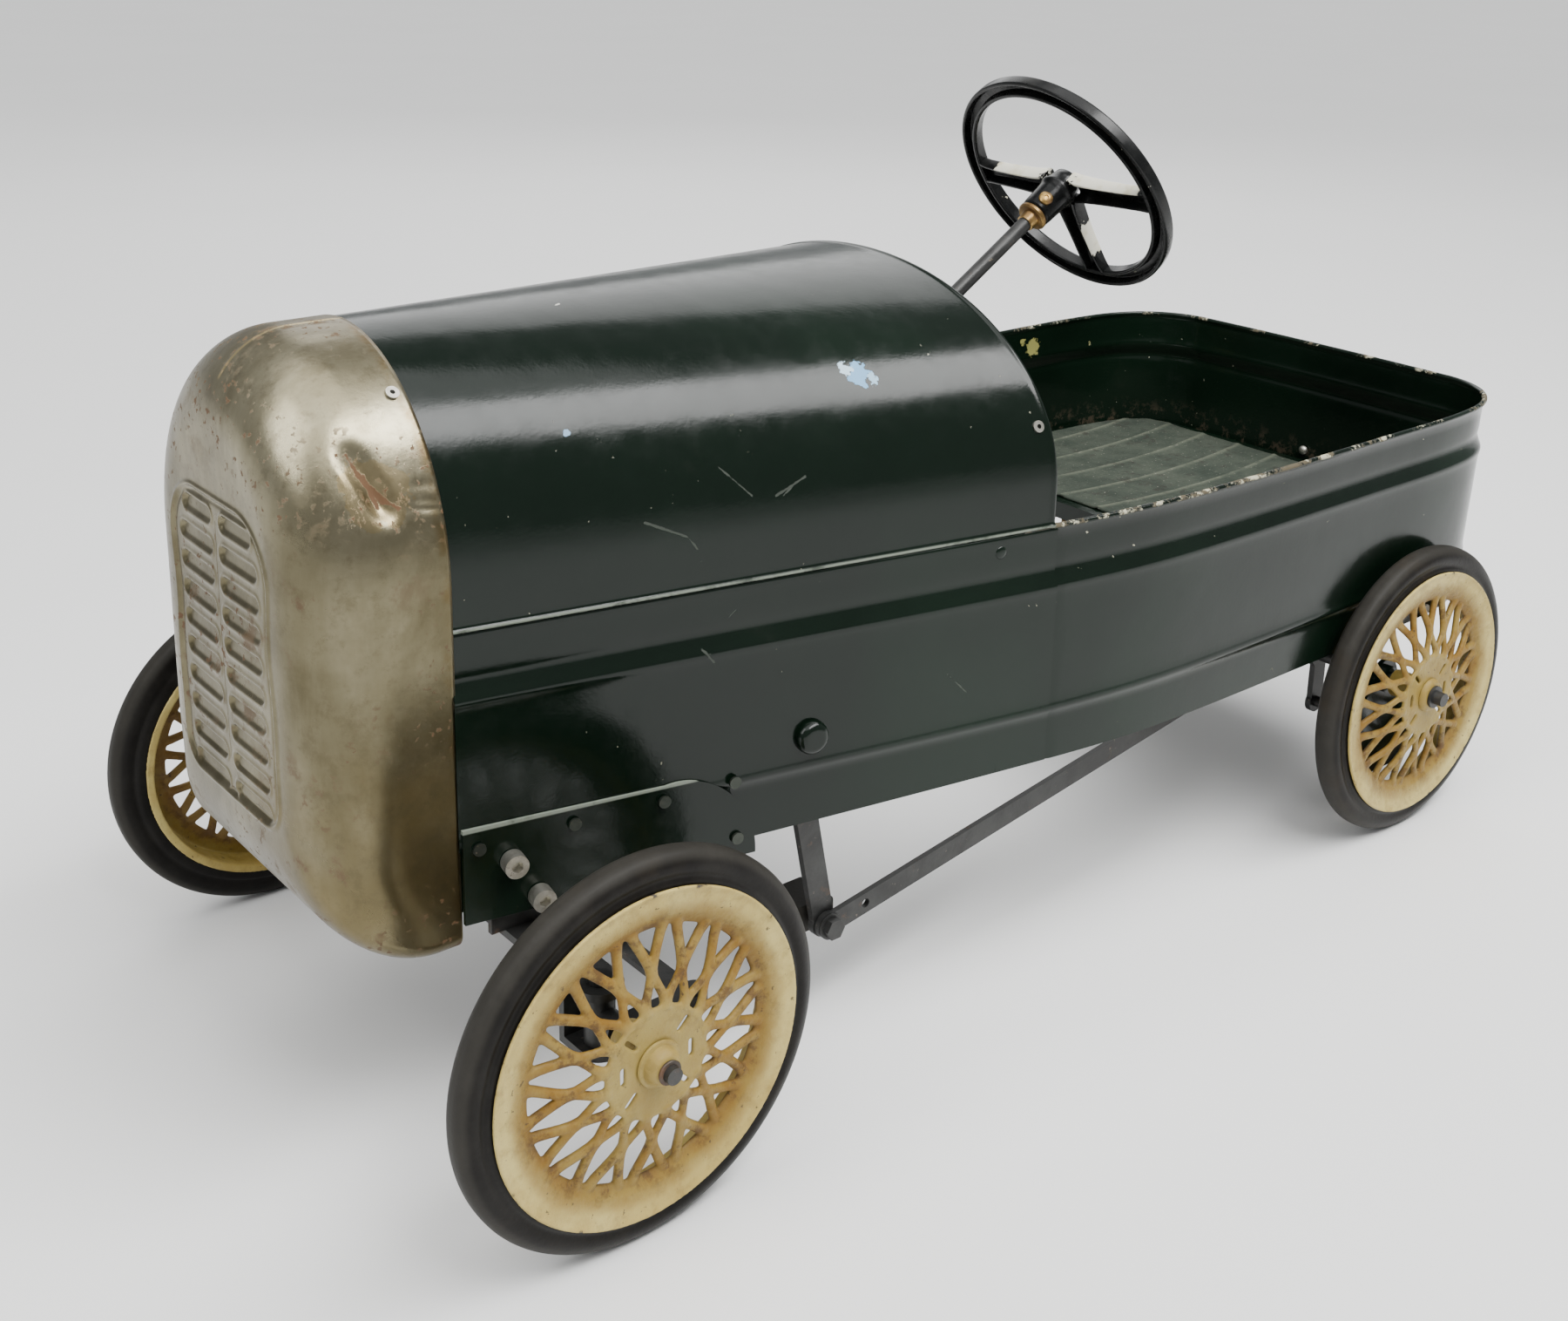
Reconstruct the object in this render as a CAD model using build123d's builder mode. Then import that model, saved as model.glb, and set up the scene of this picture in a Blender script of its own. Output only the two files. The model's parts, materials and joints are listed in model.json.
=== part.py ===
"""Child's pedal car: pressed-sheet body, four spoked disc wheels, pedals driving a cranked rear axle.

Millimetres, +X forward, +Y to the driver's left, +Z up, ground at Z = 0,
origin under the middle of the car.
"""

import os
from math import atan2, cos, degrees, radians, sin

from build123d import *

os.makedirs("parts", exist_ok=True)

# ---- driving dimensions ------------------------------------------------------

sheet = 1.2
axle_height = 117.6
front_axle_x = 395.4
rear_axle_x = -363.4

# tub and side panels
tub_top = 328.0
tub_bottom = 165.0
band_bottom = 297.0
lower_bead = 199.0
station_x = 38.0
tub_front_x = 62.0
panel_rear_x = 36.0
nose_joint_x = 437.0
tail_top_x = -518.0
tail_rake = 14.0
tail_corner_x = -440.0
side_points = [(437.0, 115.0), (215.0, 158.0), (38.0, 192.0), (-56.0, 203.0), (-130.0, 205.5),
               (-224.0, 205.5), (-340.0, 204.5)]

# bonnet and nose
bonnet_nose_half = 112.0
bonnet_cowl_half = 189.5
bonnet_nose_spring = 357.0
bonnet_cowl_spring = 356.0
bonnet_nose_top = 483.6
bonnet_cowl_top = 482.0
nose_half = 115.4
nose_top = 485.0
nose_bottom = 134.0
nose_front_x = 519.8
nose_round = 50.0
grille_half = 64.0
grille_top = 395.0
grille_bottom = 210.0
louvre_rows = 10
louvre_pitch = 18.0

# wheels
rim_radius = 100.0
tyre_radius = 117.6
tyre_seat_radius = 91.2
tyre_width = 21.0
front_rim_plane = 246.7
rear_rim_plane = 232.0
lattice_count = 16
spindle_diameter = 10.0
rear_axle_diameter = 12.0
axle_end_radius = 5.5
running_clearance = 0.05

# steering
column_angle = 32.5
steering_centre_x = -163.0
steering_centre_z = 509.0
steering_wheel_radius = 96.0
column_diameter = 11.0
drop_arm_length = 66.0
steering_arm_length = 66.0
kingpin_y = 194.0
kingpin_diameter = 8.0
tie_rod_x = front_axle_x - steering_arm_length
drop_pin_z = 117.3

# pedals and drive
pedal_pivot_x = 215.0
pedal_pivot_z = 222.0
pedal_rod_diameter = 9.0
lever_length = 153.0
lever_y = 139.5
lever_thickness = 5.0
pad_length = 30.0
left_lever_lean = -11.7
right_lever_lean = -9.1
crank_throw = 43.0
rod_y = 145.0
rod_thickness = 4.0
crank_y = 132.5
crank_thickness = 5.0

# seat
seat_front_x = -238.0
seat_rear_x = -490.0
seat_top = 224.0


# ---- shared helpers ----------------------------------------------------------

def finish(part, name):
    """Label one finished piece and write it to its own file."""
    part.label = name
    export_step(part, f"parts/{name}.step")


def tub_outline(height, outer, front_x, inner=None):
    """Plan of the tub at one height, grown outwards by a distance, or a ring of it when inner is given."""
    growths = [(outer, front_x, Mode.ADD)]
    if inner is not None:
        growths.append((inner, front_x + 20.0, Mode.SUBTRACT))
    lean = tail_rake * (tub_top - height) / (tub_top - tub_bottom)
    with BuildSketch(Plane.XY.offset(height)) as outline:
        for growth, start_x, mode in growths:
            tail = tail_top_x + lean - growth
            left = [(x + lean, y + growth) for x, y in side_points[3:]]
            left = [(start_x, 192.0 + growth - 0.19 * (start_x - station_x))] + left
            right = [(x, -y) for x, y in reversed(left)]
            corner_left = (tail_corner_x + lean, 200.0 + growth)
            corner_right = (tail_corner_x + lean, -200.0 - growth)
            with BuildLine():
                Line(right[-1], left[0])
                Spline(*left, corner_left, tangents=[(-1.0, 0.16), (-1.0, -0.14)])
                Spline(corner_left, (tail + 23.0, 177.0 + growth), (tail, 128.0),
                       tangents=[(-1.0, -0.14), (0.0, -1.0)])
                ThreePointArc((tail, 128.0), (tail - 3.0, 0.0), (tail, -128.0))
                Spline((tail, -128.0), (tail + 23.0, -177.0 - growth), corner_right,
                       tangents=[(0.0, -1.0), (1.0, -0.14)])
                Spline(corner_right, *right, tangents=[(1.0, -0.14), (1.0, 0.16)])
            make_face(mode=mode)
    return outline.sketch


def tub_band(low, high, outer, inner):
    """One band of the tub between two heights, leaning back with the tail panel."""
    lean_back = (-tail_rake / (tub_top - tub_bottom), 0.0, 1.0)
    height = high - low
    rise = Vector(*lean_back) * height
    extrude(tub_outline(low, outer, tub_front_x, inner), amount=rise.length, dir=rise)


def panel_ribbon(side, height, inner, outer):
    """Plan section of one side panel, between two distances from the nominal side line."""
    nominal = side_points[:2] + [(60.0, 188.0), (panel_rear_x, 192.3)]
    inside = [(x, side * (y + inner)) for x, y in nominal]
    outside = [(x, side * (y + outer)) for x, y in nominal]
    with BuildSketch(Plane.XY.offset(height)) as ribbon:
        with BuildLine():
            near = Spline(*inside)
            far = Spline(*outside)
            Line(near @ 0, far @ 0)
            Line(near @ 1, far @ 1)
        make_face()
    return ribbon.sketch


def side_at(x):
    """Half-width of the side panels at a station, close enough to aim a fastener."""
    stations = side_points[:3]
    for (x0, y0), (x1, y1) in zip(stations, stations[1:]):
        if x >= x1:
            return y0 + (y1 - y0) * (x0 - x) / (x0 - x1)
    return stations[-1][1]


def side_plane(x, z, side, reach):
    """Plane on the outside of a side panel, facing outwards."""
    lean = atan2(43.0, 222.0)
    normal = (sin(lean), side * cos(lean), 0.0)
    return Plane(origin=(x, side * (side_at(x) + reach), z), x_dir=(0.0, 0.0, 1.0), z_dir=normal)


def wheel_plane(x, side):
    """Section plane of a wheel: first axis outwards along the axle, second axis radial."""
    return Plane(origin=(x, 0.0, axle_height), x_dir=(0.0, side, 0.0), z_dir=(side, 0.0, 0.0))


def face_plane(x, side, lateral):
    """Plane parallel to a wheel's face at a distance from the middle of the car."""
    return Plane(origin=(x, side * lateral, axle_height), x_dir=(1.0, 0.0, 0.0), z_dir=(0.0, side, 0.0))


# ---- body --------------------------------------------------------------------

body_screw_sites = [(427.0, 199.0), (370.0, 201.0), (314.0, 202.0), (268.0, 204.0), (266.0, 166.0)]
axle_screw_sites = [(408.0, 187.0), (392.0, 161.0)]

with BuildPart() as body_screws:
    for side in (1.0, -1.0):
        for x, z in body_screw_sites:
            with BuildSketch(side_plane(x, z, side, 3.9)):
                Circle(3.9)
            extrude(amount=1.6)
            with BuildSketch(side_plane(x, z, side, 3.9)):
                Circle(1.9)
            extrude(amount=-9.0)
finish(body_screws.part, "body_screws")

with BuildPart() as axle_screws:
    for side in (1.0, -1.0):
        for x, z in axle_screw_sites:
            with BuildSketch(side_plane(x, z, side, 3.9)):
                Circle(7.2)
                RegularPolygon(3.8, 6, mode=Mode.SUBTRACT)
            extrude(amount=9.0)
            with BuildSketch(side_plane(x, z, side, 3.9)):
                Circle(7.2)
            extrude(amount=3.0)
            with BuildSketch(side_plane(x, z, side, 3.9)):
                Circle(4.0)
            extrude(amount=-16.0)
finish(axle_screws.part, "axle_screws")

with BuildPart() as seam_rivets:
    for side in (1.0, -1.0):
        with BuildSketch(side_plane(79.0, 319.0, side, -1.0)):
            Circle(4.2)
        extrude(amount=2.0)
        with BuildSketch(side_plane(79.0, 319.0, side, -1.0)):
            Circle(2.0)
        extrude(amount=-6.0)
finish(seam_rivets.part, "seam_rivets")

with BuildPart() as pedal_shaft:
    with BuildSketch(Plane.XZ.offset(-163.5)):
        with Locations((pedal_pivot_x, pedal_pivot_z)):
            Circle(pedal_rod_diameter / 2)
    extrude(amount=327.0)
finish(pedal_shaft.part, "pedal_shaft")

front_growth = 1.3
side_panels = []

for side, hand in ((1.0, "left"), (-1.0, "right")):

    with BuildPart() as side_panel:
        for low, high, inner, outer in (
            (tub_bottom - 6.0, band_bottom, front_growth - sheet, front_growth),
            (band_bottom, tub_top, front_growth - 2.4 - sheet, front_growth - 2.4),
            (lower_bead - 2.0, lower_bead + 2.0, front_growth, front_growth + 1.3),
            (band_bottom - sheet, band_bottom, front_growth - 2.4 - sheet, front_growth + 1.0),
            (band_bottom - 6.0, band_bottom, front_growth, front_growth + 1.0),
            (tub_top, tub_top + 1.6, front_growth - 5.4, front_growth - 1.6),
        ):
            extrude(panel_ribbon(side, low, inner, outer), amount=high - low)
        for screws in (body_screws, axle_screws, seam_rivets, pedal_shaft):
            add(screws.part, mode=Mode.SUBTRACT)
    side_panels.append(side_panel.part)
    finish(side_panel.part, f"side_panel_{hand}")

    with BuildPart() as front_plate:
        with BuildSketch(Plane.XZ):
            with BuildLine():
                Polyline((436.0, 152.0), (436.0, 212.0), (312.0, 211.0))
                Spline((312.0, 211.0), (281.0, 205.0), (262.0, 186.0), (253.0, 153.0))
                Line((253.0, 153.0), (436.0, 152.0))
            make_face()
        extrude(amount=side * -200.0)
        extrude(panel_ribbon(side, 100.0, 1.3, 3.6), amount=150.0, mode=Mode.INTERSECT)
        add(side_panel.part, mode=Mode.SUBTRACT)
        for screws in (body_screws, axle_screws):
            add(screws.part, mode=Mode.SUBTRACT)
    finish(front_plate.part, f"front_plate_{hand}")

    with BuildPart() as shaft_cap:
        with BuildSketch(side_plane(pedal_pivot_x, pedal_pivot_z, side, 1.5)):
            Circle(11.0)
        extrude(amount=7.0)
        outer_rim = shaft_cap.faces().sort_by(Axis.Y)[-1 if side > 0 else 0].edges()
        fillet(outer_rim, radius=5.5)
        add(pedal_shaft.part, mode=Mode.SUBTRACT)
        add(side_panel.part, mode=Mode.SUBTRACT)
    finish(shaft_cap.part, f"pedal_shaft_cap_{hand}")

rear_bolt_sites = [(rear_axle_x + 32.0, 190.0), (rear_axle_x - 32.0, 190.0),
                   (rear_axle_x + 32.0, 172.0), (rear_axle_x - 32.0, 172.0)]

with BuildPart() as rear_bolts:
    for side in (1.0, -1.0):
        with BuildSketch(Plane.XZ.offset(-side * 189.0)):
            with Locations(*rear_bolt_sites):
                Circle(2.5)
        extrude(amount=-side * 15.0)
        with BuildSketch(Plane.XZ.offset(-side * 189.0)):
            with Locations(*rear_bolt_sites):
                RegularPolygon(4.8, 6)
        extrude(amount=-side * 3.0)
        with BuildSketch(Plane.XZ.offset(-side * 203.4)):
            with Locations(*rear_bolt_sites):
                Circle(4.6)
        extrude(amount=-side * 2.2)
finish(rear_bolts.part, "rear_bolts")

with BuildPart() as rear_tub:
    tub_band(tub_bottom, lower_bead, -0.6, -0.6 - sheet)
    tub_band(lower_bead - 0.5, band_bottom, 0.0, -sheet)
    tub_band(band_bottom - 3.0, tub_top, -2.4, -2.4 - sheet)
    tub_band(lower_bead - 2.0, lower_bead + 2.0, 0.9, -0.9)
    tub_band(band_bottom - 6.0, band_bottom, 1.0, -3.0)
    tub_band(tub_top - 0.6, tub_top + 4.0, 0.2, -4.0)
    for screws in (seam_rivets, rear_bolts):
        add(screws.part, mode=Mode.SUBTRACT)
    for panel in side_panels:
        add(panel, mode=Mode.SUBTRACT)
    for side in (1.0, -1.0):
        extrude(panel_ribbon(side, 150.0, 0.1, 12.0), amount=200.0, mode=Mode.SUBTRACT)
    with BuildSketch(Plane.XY.offset(tub_top)):
        with Locations((panel_rear_x + 50.0, 0.0)):
            Rectangle(100.0, 500.0)
    extrude(amount=20.0, mode=Mode.SUBTRACT)
finish(rear_tub.part, "rear_tub")

# ---- bonnet and nose ---------------------------------------------------------

def arch(x, half, spring, top, bottom):
    """Upright section of the bonnet or nose: straight sides under an elliptical arch."""
    with BuildSketch(Plane.YZ.offset(x)) as section:
        with BuildLine():
            EllipticalCenterArc((0.0, spring), half, top - spring, start_angle=0.0, arc_size=180.0)
            Polyline((-half, spring), (-half, bottom), (half, bottom), (half, spring))
        make_face()
    return section.sketch


bonnet_bottom = tub_top + 1.6


def arch_plane(x, half, spring, top, angle, side, taper=0.0):
    """Plane touching the outside of an arch section, facing outwards. Taper is the loss of half
    width for each millimetre forwards."""
    rise = top - spring
    origin = (x, side * half * cos(radians(angle)), spring + rise * sin(radians(angle)))
    normal = (taper * cos(radians(angle)) ** 2 / half, side * cos(radians(angle)) / half,
              sin(radians(angle)) / rise)
    return Plane(origin=origin, x_dir=(1.0, 0.0, 0.0), z_dir=normal)


cowl_taper = (bonnet_cowl_half - bonnet_nose_half) / (nose_joint_x + 9.0 - station_x)
nose_rivet_planes = [arch_plane(nose_joint_x + 7.0, nose_half, bonnet_nose_spring, nose_top, 52.0, side)
                     for side in (1.0, -1.0)]
cowl_rivet_planes = [arch_plane(station_x + 9.0, bonnet_cowl_half - 9.0 * cowl_taper, bonnet_cowl_spring,
                                bonnet_cowl_top, 18.5, side, cowl_taper) for side in (1.0, -1.0)]

with BuildPart() as bonnet_rivets:
    for plane in nose_rivet_planes + cowl_rivet_planes:
        with BuildSketch(plane.offset(0.2)):
            Circle(3.9)
        extrude(amount=1.4)
        with BuildSketch(plane.offset(0.2)):
            Circle(2.3)
        extrude(amount=-4.5)
finish(bonnet_rivets.part, "bonnet_rivets")


def cut_rivet_holes(planes):
    """Open the holes that a row of rivets passes through."""
    for plane in planes:
        with BuildSketch(plane.offset(8.0)) as hole:
            Circle(2.35)
        extrude(hole.sketch, amount=-20.0, mode=Mode.SUBTRACT)


with BuildPart() as bonnet:
    for inset, reach, mode in ((0.0, 0.0, Mode.ADD), (sheet, 0.5, Mode.SUBTRACT)):
        front_arch = arch(nose_joint_x + 9.0 + reach, bonnet_nose_half - inset, bonnet_nose_spring,
                          bonnet_nose_top - inset, bonnet_bottom - reach)
        rear_arch = arch(station_x - reach, bonnet_cowl_half - inset, bonnet_cowl_spring,
                         bonnet_cowl_top - inset, bonnet_bottom - reach)
        loft([front_arch, rear_arch], ruled=True, mode=mode)
    cut_rivet_holes(nose_rivet_planes + cowl_rivet_planes)
    for side in (1.0, -1.0):
        extrude(panel_ribbon(side, bonnet_bottom - 0.8, -9.0, 9.0), amount=0.8, mode=Mode.SUBTRACT)
finish(bonnet.part, "bonnet")

with BuildPart() as nose_hollow:
    extrude(arch(nose_joint_x - 1.0, nose_half - sheet, bonnet_nose_spring, nose_top - sheet,
                 nose_bottom + sheet), amount=nose_front_x - nose_joint_x + 1.0 - sheet)
    fillet(nose_hollow.edges().filter_by(Axis.X).group_by(Axis.Z)[0], radius=26.0 - sheet)
    fillet(nose_hollow.faces().sort_by(Axis.X)[-1].edges(), radius=nose_round - sheet)

with BuildPart() as nose_shell:
    extrude(arch(nose_joint_x + 0.3, nose_half, bonnet_nose_spring, nose_top, nose_bottom),
            amount=nose_front_x - nose_joint_x - 0.3)
    lower_corners = nose_shell.edges().filter_by(Axis.X).group_by(Axis.Z)[0]
    fillet(lower_corners, radius=26.0)
    front_rim = nose_shell.faces().sort_by(Axis.X)[-1].edges()
    fillet(front_rim, radius=nose_round)
    add(nose_hollow.part, mode=Mode.SUBTRACT)
    with BuildSketch(Plane.YZ.offset(nose_front_x - 8.0)) as bead_outline:
        with Locations((0.0, (grille_top + grille_bottom) / 2)):
            RectangleRounded(2 * grille_half, grille_top - grille_bottom, 24.0)
            RectangleRounded(2 * grille_half - 6.0, grille_top - grille_bottom - 6.0, 21.0,
                             mode=Mode.SUBTRACT)
    extrude(amount=9.2)
    add(nose_hollow.part, mode=Mode.SUBTRACT)
    with BuildSketch(Plane.YZ.offset(nose_front_x - 0.6)):
        middle = (grille_top + grille_bottom) / 2 - 1.0
        with GridLocations(58.0, louvre_pitch, 2, louvre_rows):
            with Locations((0.0, middle)):
                SlotOverall(46.0, 7.0)
    extrude(amount=4.0, mode=Mode.SUBTRACT)
    cut_rivet_holes(nose_rivet_planes)
finish(nose_shell.part, "nose_shell")

# ---- seat --------------------------------------------------------------------

with BuildPart() as seat_pan:
    extrude(tub_outline(seat_top - sheet, -sheet - 1.0, tub_front_x), amount=sheet)
    extrude(tub_outline(seat_top - 14.0, -sheet - 1.0, tub_front_x), amount=14.0)
    extrude(tub_outline(seat_top - 15.0, -2.0 * sheet - 1.0, tub_front_x + 20.0), amount=15.0 - sheet,
            mode=Mode.SUBTRACT)
    with BuildSketch(Plane.XZ.offset(-250.0)):
        with Locations((seat_front_x + 250.0, seat_top)):
            Rectangle(500.0, 80.0)
    extrude(amount=500.0, mode=Mode.SUBTRACT)
    with BuildSketch(Plane.XY.offset(seat_top - 14.0)):
        with Locations((seat_front_x - sheet / 2, 0.0)):
            Rectangle(sheet, 390.0)
    extrude(amount=14.0)
finish(seat_pan.part, "seat_pan")

with BuildPart() as seat_mat:
    extrude(tub_outline(seat_top, -8.0, tub_front_x), amount=3.0)
    with BuildSketch(Plane.XZ.offset(-250.0)):
        with Locations((seat_front_x + 248.0, seat_top)):
            Rectangle(500.0, 80.0)
    extrude(amount=500.0, mode=Mode.SUBTRACT)
finish(seat_mat.part, "seat_mat")

# ---- front axle and steering -------------------------------------------------

beam_low = 134.0
beam_thickness = 5.0
lug_low = 96.0

with BuildPart() as front_axle_beam:
    with BuildSketch(Plane.XY.offset(beam_low)):
        with Locations((front_axle_x, 0.0)):
            Rectangle(28.0, 2 * kingpin_y)
        with Locations((front_axle_x, kingpin_y), (front_axle_x, -kingpin_y)):
            Circle(14.0)
    extrude(amount=beam_thickness)
    for side in (1.0, -1.0):
        with BuildSketch(Plane.XY.offset(lug_low)):
            with Locations((front_axle_x, side * kingpin_y)):
                Circle(14.0)
            with Locations((front_axle_x, side * (kingpin_y - 10.0))):
                Rectangle(28.0, 20.0)
        extrude(amount=beam_thickness)
        with BuildSketch(Plane.XY.offset(lug_low)):
            with Locations((front_axle_x, side * (kingpin_y - 17.5))):
                Rectangle(28.0, 5.0)
        extrude(amount=beam_low - lug_low)
        with BuildSketch(Plane.XY.offset(beam_low + beam_thickness)):
            with Locations((front_axle_x, side * 115.5)):
                Rectangle(46.0, 4.0)
        extrude(amount=60.0)
    with BuildSketch(Plane.XY.offset(lug_low - 5.0)):
        with Locations((front_axle_x, kingpin_y), (front_axle_x, -kingpin_y)):
            Circle(kingpin_diameter / 2)
    extrude(amount=60.0, mode=Mode.SUBTRACT)
    add(axle_screws.part, mode=Mode.SUBTRACT)
finish(front_axle_beam.part, "front_axle_beam")

with BuildPart() as kingpins:
    for side in (1.0, -1.0):
        with BuildSketch(Plane.XY.offset(lug_low - 3.0)):
            with Locations((front_axle_x, side * kingpin_y)):
                Circle(kingpin_diameter / 2)
        extrude(amount=beam_low + beam_thickness - lug_low + 3.0)
        with BuildSketch(Plane.XY.offset(beam_low + beam_thickness)):
            with Locations((front_axle_x, side * kingpin_y)):
                Circle(7.0)
        extrude(amount=4.0)
        with BuildSketch(Plane.XY.offset(lug_low - 3.0)):
            with Locations((front_axle_x, side * kingpin_y)):
                Circle(6.0)
        extrude(amount=3.0)
finish(kingpins.part, "kingpins")

arm_low = 103.0
arm_thickness = 4.0
sleeve_low = lug_low + beam_thickness + 0.5
sleeve_high = beam_low - 0.5

for side, hand in ((1.0, "left"), (-1.0, "right")):
    with BuildPart() as stub_axle:
        with BuildSketch(Plane.XY.offset(sleeve_low)):
            with Locations((front_axle_x, side * kingpin_y)):
                Circle(9.0)
        extrude(amount=sleeve_high - sleeve_low)
        with BuildSketch(face_plane(front_axle_x, side, kingpin_y)):
            Circle(spindle_diameter / 2)
        extrude(amount=front_rim_plane + 19.0 - kingpin_y)
        with BuildSketch(face_plane(front_axle_x, side, kingpin_y)):
            Circle(8.0)
        extrude(amount=20.0)
        with BuildSketch(Plane.XY.offset(arm_low)):
            with Locations((front_axle_x - steering_arm_length / 2, side * kingpin_y)):
                Rectangle(steering_arm_length, 14.0)
            with Locations((tie_rod_x, side * kingpin_y)):
                Circle(8.0)
        extrude(amount=arm_thickness)
        with BuildSketch(Plane.XY.offset(sleeve_low - 1.0)):
            with Locations((front_axle_x, side * kingpin_y)):
                Circle(kingpin_diameter / 2 + running_clearance)
            with Locations((tie_rod_x, side * kingpin_y)):
                Circle(4.0 + running_clearance)
        extrude(amount=sleeve_high - sleeve_low + 2.0, mode=Mode.SUBTRACT)
    finish(stub_axle.part, f"stub_axle_{hand}")

rod_low = 98.5

with BuildPart() as tie_rod:
    with BuildSketch(Plane.XY.offset(rod_low)):
        with Locations((tie_rod_x, 0.0)):
            Rectangle(14.0, 2 * kingpin_y)
        with Locations((tie_rod_x, kingpin_y), (tie_rod_x, -kingpin_y)):
            Circle(8.0)
    extrude(amount=4.0)
    with BuildSketch(Plane.XY.offset(rod_low + 4.0)):
        with Locations((tie_rod_x, kingpin_y), (tie_rod_x, -kingpin_y)):
            Circle(4.0)
    extrude(amount=arm_low + arm_thickness - rod_low - 4.0 + 2.5)
    with BuildSketch(Plane.XY.offset(arm_low + arm_thickness + 0.5)):
        with Locations((tie_rod_x, kingpin_y), (tie_rod_x, -kingpin_y)):
            Circle(6.5)
    extrude(amount=2.0)
    with BuildSketch(Plane.XY.offset(rod_low + 4.0)):
        with Locations((tie_rod_x, 9.0), (tie_rod_x, -9.0)):
            Rectangle(14.0, 5.0)
    extrude(amount=23.0)
finish(tie_rod.part, "tie_rod")

axis_forward = (cos(radians(column_angle)), 0.0, -sin(radians(column_angle)))
axis_back = (-cos(radians(column_angle)), 0.0, sin(radians(column_angle)))


def column_plane(distance):
    """Plane across the steering column, facing back up at the driver, with its second axis upwards."""
    origin = (steering_centre_x + distance * axis_forward[0], 0.0,
              steering_centre_z + distance * axis_forward[2])
    return Plane(origin=origin, x_dir=(0.0, -1.0, 0.0), z_dir=axis_back)


drop_distance = ((tie_rod_x - steering_centre_x) * axis_forward[0]
                 + (drop_pin_z - steering_centre_z) * axis_forward[2])

with BuildPart() as steering_shaft:
    with BuildSketch(column_plane(6.0)):
        Circle(column_diameter / 2)
    extrude(amount=-(drop_distance + 2.5 - 6.0))
    with BuildSketch(column_plane(drop_distance - 2.5)):
        Circle(10.0)
        with Locations((0.0, -drop_arm_length / 2)):
            Rectangle(7.0, drop_arm_length)
        with Locations((0.0, -drop_arm_length)):
            Circle(6.0)
    extrude(amount=-5.0)
finish(steering_shaft.part, "steering_shaft")

with BuildPart() as steering_wheel:
    with BuildSketch(Plane(origin=(steering_centre_x, 0.0, steering_centre_z), x_dir=(0.0, 1.0, 0.0),
                           z_dir=(sin(radians(column_angle)), 0.0, cos(radians(column_angle))))):
        with Locations((steering_wheel_radius - 7.0, 0.0)):
            RectangleRounded(14.0, 12.0, 3.5)
        with Locations((steering_wheel_radius - 7.0, -4.0)):
            Rectangle(7.0, 8.0, mode=Mode.SUBTRACT)
    revolve(axis=Axis((steering_centre_x, 0.0, steering_centre_z), axis_back))
    for distance, width, reach, depth, mode in ((9.0, 17.0, 78.0, 13.0, Mode.ADD),
                                                (9.0, 12.0, 70.0, 9.0, Mode.SUBTRACT)):
        with BuildSketch(column_plane(distance)):
            for turn in (0.0, 180.0, 270.0):
                with Locations(Rotation(0.0, 0.0, turn)):
                    with Locations((45.0, 0.0)):
                        Rectangle(reach, width)
        extrude(amount=depth, mode=mode)
    with BuildSketch(column_plane(38.0)):
        Circle(11.5)
    with BuildSketch(column_plane(-3.0)):
        Circle(17.0)
    loft()
    with BuildSketch(column_plane(42.0)):
        Circle(column_diameter / 2)
    extrude(amount=36.0, mode=Mode.SUBTRACT)
finish(steering_wheel.part, "steering_wheel")

with BuildPart() as column_collar:
    with BuildSketch(column_plane(50.0)):
        Circle(10.5)
        Circle(column_diameter / 2, mode=Mode.SUBTRACT)
    extrude(amount=11.9)
finish(column_collar.part, "column_collar")

for distance, half, plate_low, plate_high, name in (
    (265.0, bonnet_cowl_half - 14.0, 331.0, 352.0, "column_bracket_upper"),
    (595.0, 128.0, 176.0, 214.0, "column_bracket_lower"),
):
    with BuildPart() as column_bracket:
        bracket_x = steering_centre_x + distance * axis_forward[0]
        bracket_z = steering_centre_z + distance * axis_forward[2]
        with BuildSketch(Plane.YZ.offset(bracket_x - 1.5)):
            with Locations((0.0, (plate_low + plate_high) / 2)):
                Rectangle(2 * half, plate_high - plate_low)
            with Locations((0.0, (plate_low + bracket_z + 16.0) / 2)):
                Rectangle(36.0, abs(bracket_z + 16.0 - plate_low))
        extrude(amount=3.0)
        with BuildSketch(column_plane(distance + 13.0)):
            Circle(10.0)
        extrude(amount=26.0)
        with BuildSketch(column_plane(distance + 40.0)):
            Circle(column_diameter / 2 + running_clearance)
        extrude(amount=80.0, mode=Mode.SUBTRACT)
        for side in (1.0, -1.0):
            extrude(panel_ribbon(side, plate_low, -4.2, 9.0), amount=plate_high - plate_low,
                    mode=Mode.SUBTRACT)
    finish(column_bracket.part, name)

# ---- wheels ------------------------------------------------------------------

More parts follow.
